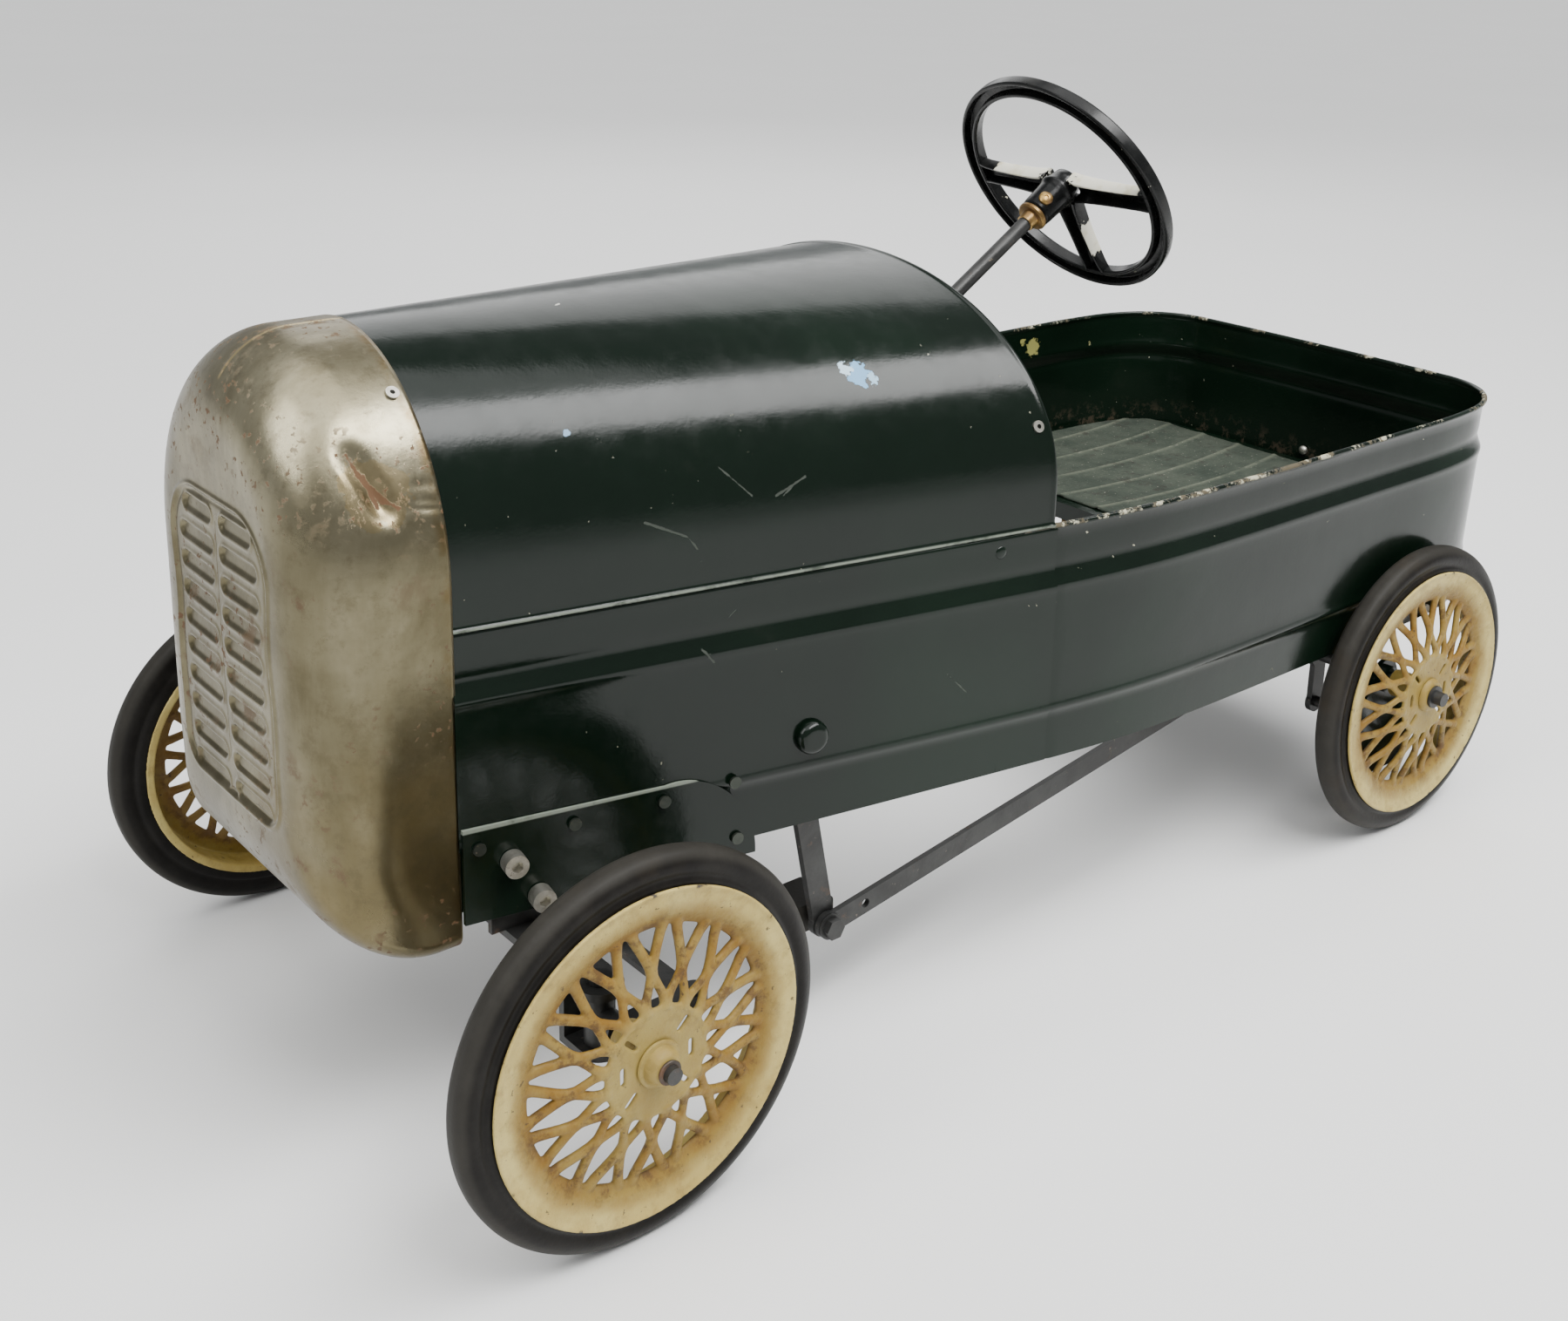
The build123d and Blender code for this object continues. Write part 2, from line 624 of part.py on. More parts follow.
def wheel_disc(x, side, rim_plane, bore):
    """Pressed wheel: rolled rim, tyre channel, and a domed lattice disc around a flat centre."""
    outline = [(-2.6, 100.0), (0.0, 100.0), (0.0, 98.4), (-5.0, 80.0), (-6.5, 76.0), (2.5, 33.0),
               (3.2, 30.0), (3.2, bore), (1.0, bore), (1.0, 29.3), (0.2, 32.5), (-8.8, 75.5), (-7.6, 80.0),
               (-4.6, 89.6), (-25.6, 89.6), (-25.6, 96.0), (-24.0, 96.0), (-24.0, 91.2), (-2.6, 91.2)]
    with BuildPart() as disc:
        with BuildSketch(wheel_plane(x, side)):
            with BuildLine():
                Polyline(*[(rim_plane + u, r) for u, r in outline], close=True)
            make_face()
        revolve(axis=Axis((x, 0.0, axle_height), (0.0, 1.0, 0.0)))
        with BuildSketch(face_plane(x, side, rim_plane - 12.0)):
            with PolarLocations(0.0, lattice_count):
                Polygon((59.5, 0.0), (75.3, 6.4), (75.3, -6.4), align=None)
            with PolarLocations(0.0, lattice_count, start_angle=180.0 / lattice_count):
                Polygon((41.5, 1.6), (46.0, 4.6), (52.0, 7.3), (58.0, 7.4), (75.3, 2.0),
                        (75.3, -2.0), (58.0, -7.4), (52.0, -7.3), (46.0, -4.6), (41.5, -1.6), align=None)
            with PolarLocations(36.8, lattice_count):
                Circle(2.5)
            with PolarLocations(24.0, 4, start_angle=45.0):
                SlotOverall(10.0, 2.2)
        extrude(amount=18.0, mode=Mode.SUBTRACT)
    return disc.part


def tyre(x, side, rim_plane):
    """Solid rubber tyre with a slightly crowned tread."""
    near = rim_plane - 3.0
    far = near - tyre_width + 0.2
    middle = (near + far) / 2
    with BuildPart() as rubber:
        with BuildSketch(wheel_plane(x, side)):
            with BuildLine():
                Line((far, tyre_seat_radius), (near, tyre_seat_radius))
                Line((near, tyre_seat_radius), (near, 106.0))
                Spline((near, 106.0), (near - 3.2, 114.6), (middle, tyre_radius),
                       (far + 3.2, 114.6), (far, 106.0), tangents=[(0.0, 1.0), (0.0, -1.0)])
                Line((far, 106.0), (far, tyre_seat_radius))
            make_face()
        revolve(axis=Axis((x, 0.0, axle_height), (0.0, 1.0, 0.0)))
    return rubber.part


def wheel_hub(x, side, rim_plane, bore, nose_reach):
    """Turned hub through the middle of a wheel, coned on the outside."""
    outline = [(-27.0, bore), (-27.0, 11.0), (1.0, 11.0), (1.0, 14.0), (3.2, 14.0), (3.2, 14.5), (6.0, 14.5),
               (8.0, 12.0), (nose_reach, 8.6), (nose_reach, bore)]
    with BuildPart() as hub:
        with BuildSketch(wheel_plane(x, side)):
            with BuildLine():
                Polyline(*[(rim_plane + u, r) for u, r in outline], close=True)
            make_face()
        revolve(axis=Axis((x, 0.0, axle_height), (0.0, 1.0, 0.0)))
    return hub.part


front_bore = spindle_diameter / 2 + running_clearance
rear_bore = rear_axle_diameter / 2 + running_clearance

for side, hand in ((1.0, "left"), (-1.0, "right")):
    for x, rim_plane, bore, reach, end in (
        (front_axle_x, front_rim_plane, front_bore, 13.0, "front"),
        (rear_axle_x, rear_rim_plane, rear_bore if side < 0 else rear_axle_diameter / 2, 7.5, "rear"),
    ):
        finish(wheel_disc(x, side, rim_plane, 14.0), f"{end}_wheel_disc_{hand}")
        finish(tyre(x, side, rim_plane), f"{end}_tyre_{hand}")
        finish(wheel_hub(x, side, rim_plane, bore, reach), f"{end}_hub_{hand}")

# ---- rear axle and pedal drive -----------------------------------------------

with BuildPart() as rear_axle:
    for reach, radius in ((rear_rim_plane + 10.0, rear_axle_diameter / 2),
                          (rear_rim_plane + 17.0, axle_end_radius)):
        with BuildSketch(face_plane(rear_axle_x, 1.0, -reach)):
            Circle(radius)
        extrude(amount=2 * reach)
finish(rear_axle.part, "rear_axle")

for side, hand, rise in ((1.0, "left", 1.0), (-1.0, "right", -1.0)):
    with BuildPart() as crank:
        with BuildSketch(face_plane(rear_axle_x, side, crank_y - crank_thickness / 2)):
            with Locations((0.0, rise * side * crank_throw / 2)):
                Rectangle(15.0, crank_throw)
            Circle(12.0)
            with Locations((0.0, rise * side * crank_throw)):
                Circle(9.0)
        extrude(amount=crank_thickness)
        with BuildSketch(face_plane(rear_axle_x, side, crank_y)):
            with Locations((0.0, rise * side * crank_throw)):
                Circle(4.5)
        extrude(amount=rod_y - rod_thickness / 2 - 0.4 - crank_y)
        add(rear_axle.part, mode=Mode.SUBTRACT)
    finish(crank.part, f"crank_arm_{hand}")

    with BuildPart() as axle_bracket:
        with BuildSketch(face_plane(rear_axle_x, side, 192.0)):
            Polygon((-42.0, 45.0), (-42.0, 82.0), (42.0, 82.0), (42.0, 45.0), (14.0, -6.0), (-14.0, -6.0),
                    align=None)
            Circle(16.0)
        extrude(amount=4.0)
        with BuildSketch(face_plane(rear_axle_x, side, 188.0)):
            Circle(11.0)
        extrude(amount=13.0)
        with BuildSketch(face_plane(rear_axle_x, side, 180.0)):
            Circle(rear_axle_diameter / 2 + running_clearance)
        extrude(amount=40.0, mode=Mode.SUBTRACT)
        add(rear_bolts.part, mode=Mode.SUBTRACT)
    finish(axle_bracket.part, f"rear_axle_bracket_{hand}")

with BuildPart() as bolt_spacers:
    for side in (1.0, -1.0):
        with BuildSketch(Plane.XZ.offset(-side * 196.0)):
            with Locations(*rear_bolt_sites):
                Circle(5.0)
                Circle(2.5, mode=Mode.SUBTRACT)
        extrude(amount=-side * 5.6)
    add(rear_tub.part, mode=Mode.SUBTRACT)
finish(bolt_spacers.part, "rear_bolt_spacers")

for side, hand, lean, rise in ((1.0, "left", left_lever_lean, 1.0), (-1.0, "right", right_lever_lean, -1.0)):
    foot_x = pedal_pivot_x + lever_length * sin(radians(lean))
    foot_z = pedal_pivot_z - lever_length * cos(radians(lean))
    crank_z = axle_height + rise * crank_throw
    rod_slope = atan2(crank_z - foot_z, foot_x - rear_axle_x)
    inner = lever_y - lever_thickness / 2
    lever_middle = ((pedal_pivot_x + foot_x) / 2, (pedal_pivot_z + foot_z) / 2)

    with BuildPart() as lever:
        with BuildSketch(Plane.XZ.offset(-side * inner)):
            with Locations((pedal_pivot_x, pedal_pivot_z), (foot_x, foot_z)):
                Circle(10.0)
            with Locations(Location((lever_middle[0], lever_middle[1], 0.0), (0.0, 0.0, lean))):
                Rectangle(17.0, lever_length)
        extrude(amount=-side * lever_thickness)
        with BuildSketch(Plane.XZ.offset(-side * (inner - 8.0))):
            with Locations((pedal_pivot_x, pedal_pivot_z)):
                Circle(9.0)
        extrude(amount=-side * 8.0)
        with BuildSketch(Plane.XZ.offset(-side * (inner - 20.0))):
            with Locations((pedal_pivot_x, pedal_pivot_z)):
                Circle(pedal_rod_diameter / 2 + running_clearance)
        extrude(amount=-side * 40.0, mode=Mode.SUBTRACT)
        with BuildSketch(Plane.XZ.offset(-side * (inner - 20.0))):
            with Locations((foot_x, foot_z)):
                Circle(4.5)
        extrude(amount=-side * 40.0, mode=Mode.SUBTRACT)
    finish(lever.part, f"pedal_lever_{hand}")

    with BuildPart() as spindle:
        with BuildSketch(Plane.XZ.offset(-side * (inner - pad_length - 12.0))):
            with Locations((foot_x, foot_z)):
                Circle(4.5)
        extrude(amount=-side * (pad_length + 12.0 + lever_thickness + rod_thickness + 5.5))
        with BuildSketch(Plane.XZ.offset(-side * (rod_y + rod_thickness / 2 + 0.5))):
            with Locations((foot_x, foot_z)):
                Circle(9.0)
        extrude(amount=-side * 1.6)
        with BuildSketch(Plane.XZ.offset(-side * (rod_y + rod_thickness / 2 + 2.1))):
            with Locations((foot_x, foot_z)):
                RegularPolygon(7.5, 6)
        extrude(amount=-side * 5.0)
    finish(spindle.part, f"pedal_spindle_{hand}")

    with BuildPart() as pad:
        with BuildSketch(Plane.XZ.offset(-side * (inner - pad_length - 6.0))):
            with Locations((foot_x, foot_z)):
                RectangleRounded(34.0, 20.0, 5.0)
                Circle(4.5 + running_clearance, mode=Mode.SUBTRACT)
        extrude(amount=-side * pad_length)
    finish(pad.part, f"pedal_pad_{hand}")

    with BuildPart() as push_rod:
        rod_length = (foot_x - rear_axle_x) / cos(rod_slope)
        middle = ((foot_x + rear_axle_x) / 2, (foot_z + crank_z) / 2)
        with BuildSketch(Plane.XZ.offset(-side * (rod_y - rod_thickness / 2))):
            with Locations((foot_x, foot_z), (rear_axle_x, crank_z)):
                Circle(9.0)
            with Locations(Location((middle[0], middle[1], 0.0), (0.0, 0.0, -degrees(rod_slope)))):
                Rectangle(rod_length, 15.0)
                with Locations((rod_length / 2 - 32.0, 0.0)):
                    Circle(3.2, mode=Mode.SUBTRACT)
            with Locations((foot_x, foot_z)):
                Circle(4.5 + running_clearance, mode=Mode.SUBTRACT)
            with Locations((rear_axle_x, crank_z)):
                Circle(4.5 + running_clearance, mode=Mode.SUBTRACT)
        extrude(amount=-side * rod_thickness)
    finish(push_rod.part, f"push_rod_{hand}")

for side, hand in ((1.0, "left"), (-1.0, "right")):
    with BuildPart() as axle_cap:
        with BuildSketch(face_plane(front_axle_x, side, front_rim_plane + 13.3)):
            Circle(8.0)
            Circle(spindle_diameter / 2, mode=Mode.SUBTRACT)
        extrude(amount=2.0)
    finish(axle_cap.part, f"front_retainer_{hand}")

    with BuildPart() as wheel_washer:
        with BuildSketch(face_plane(rear_axle_x, side, rear_rim_plane + 7.8)):
            Circle(9.0)
            Circle(rear_axle_diameter / 2, mode=Mode.SUBTRACT)
        extrude(amount=2.0)
    finish(wheel_washer.part, f"rear_retainer_{hand}")
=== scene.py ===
import json
import math

import bpy
import bmesh
import numpy as np
from mathutils import Matrix, Vector


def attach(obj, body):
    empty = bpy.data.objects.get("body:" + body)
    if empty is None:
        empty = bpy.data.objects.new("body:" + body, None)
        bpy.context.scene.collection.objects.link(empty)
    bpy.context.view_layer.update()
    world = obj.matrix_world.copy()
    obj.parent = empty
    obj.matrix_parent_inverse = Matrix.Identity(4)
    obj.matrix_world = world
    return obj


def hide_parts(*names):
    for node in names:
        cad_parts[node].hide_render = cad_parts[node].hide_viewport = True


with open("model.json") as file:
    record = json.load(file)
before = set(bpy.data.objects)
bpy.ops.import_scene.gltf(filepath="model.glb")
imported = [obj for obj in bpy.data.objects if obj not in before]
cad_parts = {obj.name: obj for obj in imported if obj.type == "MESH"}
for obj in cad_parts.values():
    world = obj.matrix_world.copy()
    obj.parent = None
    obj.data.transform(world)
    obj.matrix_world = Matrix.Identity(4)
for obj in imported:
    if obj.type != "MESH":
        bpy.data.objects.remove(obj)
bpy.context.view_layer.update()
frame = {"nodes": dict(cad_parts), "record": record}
nodes = frame["nodes"]
MM = 0.001
TAU = 2.0 * math.pi

# ---- sizes in millimetres, as in the CAD ----

AXLE_Z = 117.6
FRONT_X = 395.4
REAR_X = -363.4
FRONT_RIM_Y = 246.7
REAR_RIM_Y = 232.0
TUB_TOP = 328.0
TUB_BOTTOM = 165.0
TAIL_X = -518.0
TAIL_RAKE = 14.0
NOSE_JOINT_X = 437.0
NOSE_FRONT_X = 519.8
COLUMN_ANGLE = math.radians(32.5)
WHEEL_CENTRE = Vector((-163.0, 0.0, 509.0))
SEAT_FRONT_X = -238.0
PANEL_FOOT = 159.0
PANEL_REAR_X = 36.0
SHEET = 1.2
BONNET_FRONT_X = 446.0
BONNET_REAR_X = 38.0
BONNET_BOTTOM = 329.7
ARCH_POWER = 2.04
SEAM_RIVET_X, SEAM_RIVET_Z = 79.0, 319.0


# ---- mesh helpers ----

def add_object(name, data):
    """A new object in the scene."""
    obj = bpy.data.objects.new(name, data)
    bpy.context.scene.collection.objects.link(obj)
    return obj


def make_object(name, points, faces, material, smooth=True, sharp=None):
    """A mesh object from points in millimetres, in the shared frame."""
    mesh = bpy.data.meshes.new(name)
    mesh.from_pydata([tuple(float(c) * MM for c in p) for p in points], [], faces)
    mesh.update()
    build = bmesh.new()
    build.from_mesh(mesh)
    bmesh.ops.remove_doubles(build, verts=build.verts, dist=1e-6)
    bmesh.ops.recalc_face_normals(build, faces=build.faces)
    build.to_mesh(mesh)
    build.free()
    if smooth:
        mesh.shade_smooth()
    if sharp is not None:
        mesh.set_sharp_from_angle(angle=math.radians(sharp))
    if material is not None:
        mesh.materials.append(material)
    return add_object(name, mesh)


def grid_faces(rows, cols, wrap_rows=False, wrap_cols=False, start=0, capped=False):
    """Quads of a grid of points stored row by row; capped closes its first and last rows."""
    faces = []
    for i in range(rows if wrap_rows else rows - 1):
        for j in range(cols if wrap_cols else cols - 1):
            a = start + i * cols + j
            b = start + i * cols + (j + 1) % cols
            c = start + ((i + 1) % rows) * cols + (j + 1) % cols
            d = start + ((i + 1) % rows) * cols + j
            faces.append((a, b, c, d))
    if capped:
        faces.append(tuple(range(cols)))
        faces.append(tuple(range((rows - 1) * cols, rows * cols)))
    return faces


def clamped_spline(points, start, end, count):
    """Points on a smooth curve through the given points with fixed end directions."""
    points = np.array(points, float)
    chord = np.r_[0.0, np.cumsum(np.linalg.norm(np.diff(points, axis=0), axis=1))]
    size = len(points)
    start = np.array(start, float) / np.linalg.norm(start)
    end = np.array(end, float) / np.linalg.norm(end)
    system = np.zeros((size, size))
    right = np.zeros((size, 2))
    system[0, 0] = system[-1, -1] = 1.0
    right[0], right[-1] = start, end
    for i in range(1, size - 1):
        before, after = chord[i] - chord[i - 1], chord[i + 1] - chord[i]
        system[i, i - 1:i + 2] = (after, 2 * (before + after), before)
        right[i] = 3 * (after * (points[i] - points[i - 1]) / before
                        + before * (points[i + 1] - points[i]) / after)
    slope = np.linalg.solve(system, right)
    where = np.linspace(0.0, chord[-1], count)
    span = np.clip(np.searchsorted(chord, where, side="right") - 1, 0, size - 2)
    length = (chord[span + 1] - chord[span])[:, None]
    t = ((where - chord[span])[:, None]) / length
    return ((2 * t**3 - 3 * t**2 + 1) * points[span] + (t**3 - 2 * t**2 + t) * length * slope[span]
            + (-2 * t**3 + 3 * t**2) * points[span + 1]
            + (t**3 - t**2) * length * slope[span + 1])


def path_normals(path):
    """Unit normals of a plan path, on the right of its direction."""
    along = np.gradient(path, axis=0)
    along /= np.linalg.norm(along, axis=1)[:, None]
    return np.stack([along[:, 1], -along[:, 0]], axis=1)


def sweep_sheet(name, path, normals, profile, material, lean=0.0):
    """A closed sheet profile of (outset, height) carried along a plan path, with closed ends."""
    points = []
    for (x, y), (nx, ny) in zip(path, normals):
        for outset, z in profile:
            shift = lean * (TUB_TOP - z)
            points.append((x + nx * outset + shift, y + ny * outset, z))
    faces = grid_faces(len(path), len(profile), wrap_cols=True, capped=True)
    return make_object(name, points, faces, material, sharp=50)


def lathe(name, outline, material, segments=128, closed=True):
    """A body of revolution about the local X axis from (along, radius) points."""
    points = []
    for k in range(segments):
        turn = TAU * k / segments
        for u, r in outline:
            points.append((u, r * math.cos(turn), r * math.sin(turn)))
    faces = grid_faces(segments, len(outline), wrap_rows=True, wrap_cols=closed)
    return make_object(name, points, faces, material, sharp=40)


def rounded(corners, radius, steps=5):
    """Round the corners of a closed polygon of (a, b) points."""
    out = []
    corners = [np.array(c, float) for c in corners]
    for k, here in enumerate(corners):
        before, after = corners[k - 1], corners[(k + 1) % len(corners)]
        to_before, to_after = before - here, after - here
        reach = min(radius, 0.45 * np.linalg.norm(to_before), 0.45 * np.linalg.norm(to_after))
        p = here + to_before / np.linalg.norm(to_before) * reach
        q = here + to_after / np.linalg.norm(to_after) * reach
        for t in np.linspace(0.0, 1.0, steps):
            out.append(tuple((1 - t) ** 2 * p + 2 * t * (1 - t) * here + t**2 * q))
    return out


def facing_x(direction):
    """Rotation that turns the local X axis to a direction."""
    return Vector(direction).to_track_quat("X", "Y").to_matrix().to_4x4()


def smoothstep(low, high, value):
    t = np.clip((value - low) / (high - low), 0.0, 1.0)
    return t * t * (3.0 - 2.0 * t)


def finish_piece(obj, body, slot, *cad_nodes):
    """Hand a visual piece to its body and hide its CAD nodes if any; slot is not used."""
    if cad_nodes:
        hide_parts(*cad_nodes)
    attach(obj, body)
    return obj


# ---- materials ----

class Paint:
    """Small wrapper for building one procedural node material."""

    def __init__(self, name):
        self.material = bpy.data.materials.new(name)
        self.material.use_nodes = True
        self.tree = self.material.node_tree
        self.tree.nodes.clear()
        self.output = self.node("ShaderNodeOutputMaterial")
        self.shader = self.node("ShaderNodeBsdfPrincipled")
        self.link(self.shader.outputs["BSDF"], self.output.inputs["Surface"])
        self.place = self.node("ShaderNodeTexCoord").outputs["Object"]
        self.grain = self.place

    def node(self, kind, **settings):
        made = self.tree.nodes.new(kind)
        for key, value in settings.items():
            setattr(made, key, value)
        return made

    def link(self, source, target):
        self.tree.links.new(source, target)

    def feed(self, target, value):
        """Put a constant or another socket into an input."""
        if isinstance(value, bpy.types.NodeSocket):
            self.link(value, target)
        elif isinstance(value, tuple) and len(value) < len(target.default_value):
            target.default_value = (*value, 1.0)
        else:
            target.default_value = value

    def mapped(self, scale=(1.0, 1.0, 1.0), shift=(0.0, 0.0, 0.0), turn=(0.0, 0.0, 0.0)):
        made = self.node("ShaderNodeMapping")
        self.link(self.place, made.inputs["Vector"])
        self.feed(made.inputs["Scale"], scale)
        self.feed(made.inputs["Location"], shift)
        self.feed(made.inputs["Rotation"], turn)
        return made.outputs["Vector"]

    def noise(self, scale, detail=6.0, rough=0.6, where=None, warp=0.0):
        made = self.node("ShaderNodeTexNoise")
        self.link(where or self.grain, made.inputs["Vector"])
        self.feed(made.inputs["Scale"], scale)
        self.feed(made.inputs["Detail"], detail)
        self.feed(made.inputs["Roughness"], rough)
        self.feed(made.inputs["Distortion"], warp)
        return made.outputs["Fac"]

    def cells(self, scale):
        made = self.node("ShaderNodeTexVoronoi", feature="F1")
        self.link(self.grain, made.inputs["Vector"])
        self.feed(made.inputs["Scale"], scale)
        return made.outputs["Distance"]

    def step(self, value, low, high, out_low=0.0, out_high=1.0):
        """Smooth map of value from low..high to out_low..out_high."""
        made = self.node("ShaderNodeMapRange", interpolation_type="SMOOTHSTEP")
        self.feed(made.inputs["Value"], value)
        self.feed(made.inputs["From Min"], low)
        self.feed(made.inputs["From Max"], high)
        self.feed(made.inputs["To Min"], out_low)
        self.feed(made.inputs["To Max"], out_high)
        return made.outputs["Result"]

    def clouds(self, shape, low, high, out_low=0.0, out_high=1.0, where=None):
        """Noise of a (scale, detail, roughness) cut by a smooth step."""
        return self.step(self.noise(*shape, where=where), low, high, out_low, out_high)

    def math(self, operation, first, second=0.0, third=0.0):
        made = self.node("ShaderNodeMath", operation=operation)
        self.feed(made.inputs[0], first)
        self.feed(made.inputs[1], second)
        self.feed(made.inputs[2], third)
        return made.outputs[0]

    def times(self, first, second):
        return self.math("MULTIPLY", first, second)

    def most(self, first, second):
        return self.math("MAXIMUM", first, second)

    def vector(self, operation, first, second):
        """Outputs of a vector operation on two sockets or triples."""
        made = self.node("ShaderNodeVectorMath", operation=operation)
        self.feed(made.inputs[0], first)
        self.feed(made.inputs[1], second)
        return made.outputs

    def radius(self):
        """Distance from the local X axis."""
        flat = self.vector("MULTIPLY", self.place, (0.0, 1.0, 1.0))[0]
        far = self.node("ShaderNodeVectorMath", operation="LENGTH")
        self.link(flat, far.inputs[0])
        return far.outputs["Value"]

    def tint(self, amount, shade):
        """Lay a shade over the colour so far."""
        self.color = self.mix(amount, self.color, shade)

    def mix(self, amount, first, second):
        made = self.node("ShaderNodeMix", data_type="RGBA")
        self.feed(made.inputs[0], amount)
        self.feed(made.inputs[6], first)
        self.feed(made.inputs[7], second)
        return made.outputs[2]

    def blend(self, amount, first, second):
        """Mix of two plain numbers."""
        made = self.node("ShaderNodeMix", data_type="FLOAT")
        self.feed(made.inputs[0], amount)
        self.feed(made.inputs[2], first)
        self.feed(made.inputs[3], second)
        return made.outputs[0]

    def axis(self, name):
        made = self.node("ShaderNodeSeparateXYZ")
        self.link(self.place, made.inputs[0])
        return made.outputs[name]

    def near(self, centre, reach, ragged=0.0, scale=220.0):
        """1 close to a point in metres, 0 past its reach, with a ragged border."""
        distance = self.vector("DISTANCE", self.place, centre)["Value"]
        if ragged:
            rough = self.noise(scale, 4.0, 0.65)
            rough = self.math("MULTIPLY_ADD", rough, ragged, -0.5 * ragged)
            distance = self.math("ADD", distance, rough)
        return self.step(distance, reach * 0.96, reach, 1.0, 0.0)

    def streak(self, start, end, width, ragged=0.0):
        """1 along a line between two points in metres, broken up and uneven in width."""
        start, end = Vector(start), Vector(end)
        run = end - start
        offset = self.vector("SUBTRACT", self.place, tuple(start))[0]
        along = self.vector("DOT_PRODUCT", offset, tuple(run / run.length_squared))["Value"]
        held = self.node("ShaderNodeMath", operation="MULTIPLY", use_clamp=True)
        self.link(along, held.inputs[0])
        self.feed(held.inputs[1], 1.0)
        foot = self.node("ShaderNodeVectorMath", operation="SCALE")
        self.feed(foot.inputs[0], tuple(run))
        self.link(held.outputs[0], foot.inputs["Scale"])
        away = self.vector("DISTANCE", offset, foot.outputs[0])["Value"]
        rough = self.math("MULTIPLY_ADD", self.noise(95.0, 5.0, 0.7), ragged, -0.5 * ragged)
        return self.step(self.math("ADD", away, rough), width * 0.5, width, 1.0, 0.0)

    def bump(self, height, strength, depth, below=None):
        made = self.node("ShaderNodeBump")
        self.feed(made.inputs["Height"], height)
        self.feed(made.inputs["Strength"], strength)
        self.feed(made.inputs["Distance"], depth)
        if below is not None:
            self.link(below, made.inputs["Normal"])
        return made.outputs["Normal"]

    def set(self, **sockets):
        """Feed the shader its colour and other sockets, and give the material back."""
        names = {"rough": "Roughness", "metal": "Metallic", "normal": "Normal",
                 "spec": "Specular IOR Level"}
        self.feed(self.shader.inputs["Base Color"], self.color)
        for key, value in sockets.items():
            self.feed(self.shader.inputs[names[key]], value)
        return self.material


def green_enamel(name, rim=False, marks=(), scratches=(), edge=None):
    """Old gloss enamel: near-black green, orange peel, grime, scratches, chips, worn edges and a
    pale line along one edge, partly wear and partly a painted highlight.
    """
    p = Paint(name)
    tone = p.noise(3.5, 3.0)
    p.color = p.mix(p.step(tone, 0.35, 0.7), (0.0021, 0.0058, 0.0031), (0.0042, 0.0112, 0.0060))
    grime = p.clouds((17.0, 8.0, 0.7), 0.56, 0.86)
    p.tint(p.times(grime, 0.22), (0.022, 0.023, 0.016))
    rough = p.blend(grime, p.clouds((60.0, 4.0), 0.3, 0.8, 0.13, 0.22), 0.34)
    drawn = p.mapped((1.0, 1.0, 0.06), turn=(0.3, 0.9, 0.2))
    crossed = p.mapped((0.05, 1.0, 1.0), turn=(0.2, 0.25, -0.4))
    scratch = p.most(p.clouds((55.0, 5.0, 0.75), 0.715, 0.735, where=drawn),
                     p.clouds((70.0, 5.0, 0.75), 0.725, 0.745, where=crossed))
    scratch = p.times(scratch, p.clouds((7.0, 2.0), 0.5, 0.6))
    for start, end, width in scratches:
        scratch = p.most(scratch, p.streak(start, end, width, 0.0032))
    p.tint(p.times(scratch, 0.27), (0.13, 0.145, 0.12))
    rough = p.blend(scratch, rough, 0.5)
    speck = p.clouds((170.0, 3.0, 0.6), 0.725, 0.742)
    speck = p.times(speck, p.clouds((9.0, 3.0), 0.5, 0.62))
    p.tint(speck, (0.36, 0.35, 0.26))
    height = p.math("MULTIPLY_ADD", speck, -1.0, p.times(scratch, -0.5))
    if rim:
        z = p.axis("Z")
        near_side = p.times(p.step(p.axis("Y"), 0.170, 0.195), 0.07)
        ragged = p.math("ADD", p.noise(38.0, 8.0, 0.75), near_side)
        top = p.times(p.step(z, 0.3286, 0.3304), p.step(ragged, 0.555, 0.60))
        cream = p.clouds((120.0, 4.0, 0.7), 0.50, 0.56)
        worn = p.mix(cream, (0.085, 0.070, 0.042), (0.42, 0.40, 0.29))
        p.tint(top, worn)
        rough = p.blend(top, rough, 0.7)
        height = p.math("MULTIPLY_ADD", top, -1.2, height)
        low = p.step(z, 0.252, 0.224)
        soot = p.times(low, p.clouds((90.0, 8.0, 0.75), 0.50, 0.62))
        level = p.vector("MULTIPLY", p.place, (1.0, 1.0, 0.0))[0]
        normal = p.node("ShaderNodeTexCoord").outputs["Normal"]
        inside = p.step(p.vector("DOT_PRODUCT", level, normal)["Value"], 0.0, -0.02)
        p.tint(p.times(soot, inside), (0.045, 0.037, 0.025))
    if edge is not None:
        # edge is a Z range for a pale line along a sheet's edge: a painted highlight, broken up
        # like wear
        edge_wear_and_highlight = p.step(p.axis("Z"), edge[0], edge[1])
        edge_wear_and_highlight = p.times(edge_wear_and_highlight, p.clouds((30.0, 6.0, 0.7), 0.34, 0.50, 0.35, 1.0))
        p.tint(edge_wear_and_highlight, (0.17, 0.19, 0.155))
    for centre, reach, ragged, shade in marks:
        spot = p.near(centre, reach, ragged)
        if rim:
            spot = p.times(spot, inside)
        p.tint(spot, shade)
        rough = p.blend(spot, rough, 0.5)
        height = p.math("MULTIPLY_ADD", spot, -1.0, height)
    peel = p.bump(p.noise(380.0, 3.0, 0.6), 0.09, 0.0006)
    waves = p.bump(p.noise(11.0, 3.0, 0.45), 0.34, 0.0026, below=peel)
    normal = p.bump(height, 0.5, 0.0004, below=waves)
    return p.set(rough=rough, metal=0.0, normal=normal, spec=0.27)


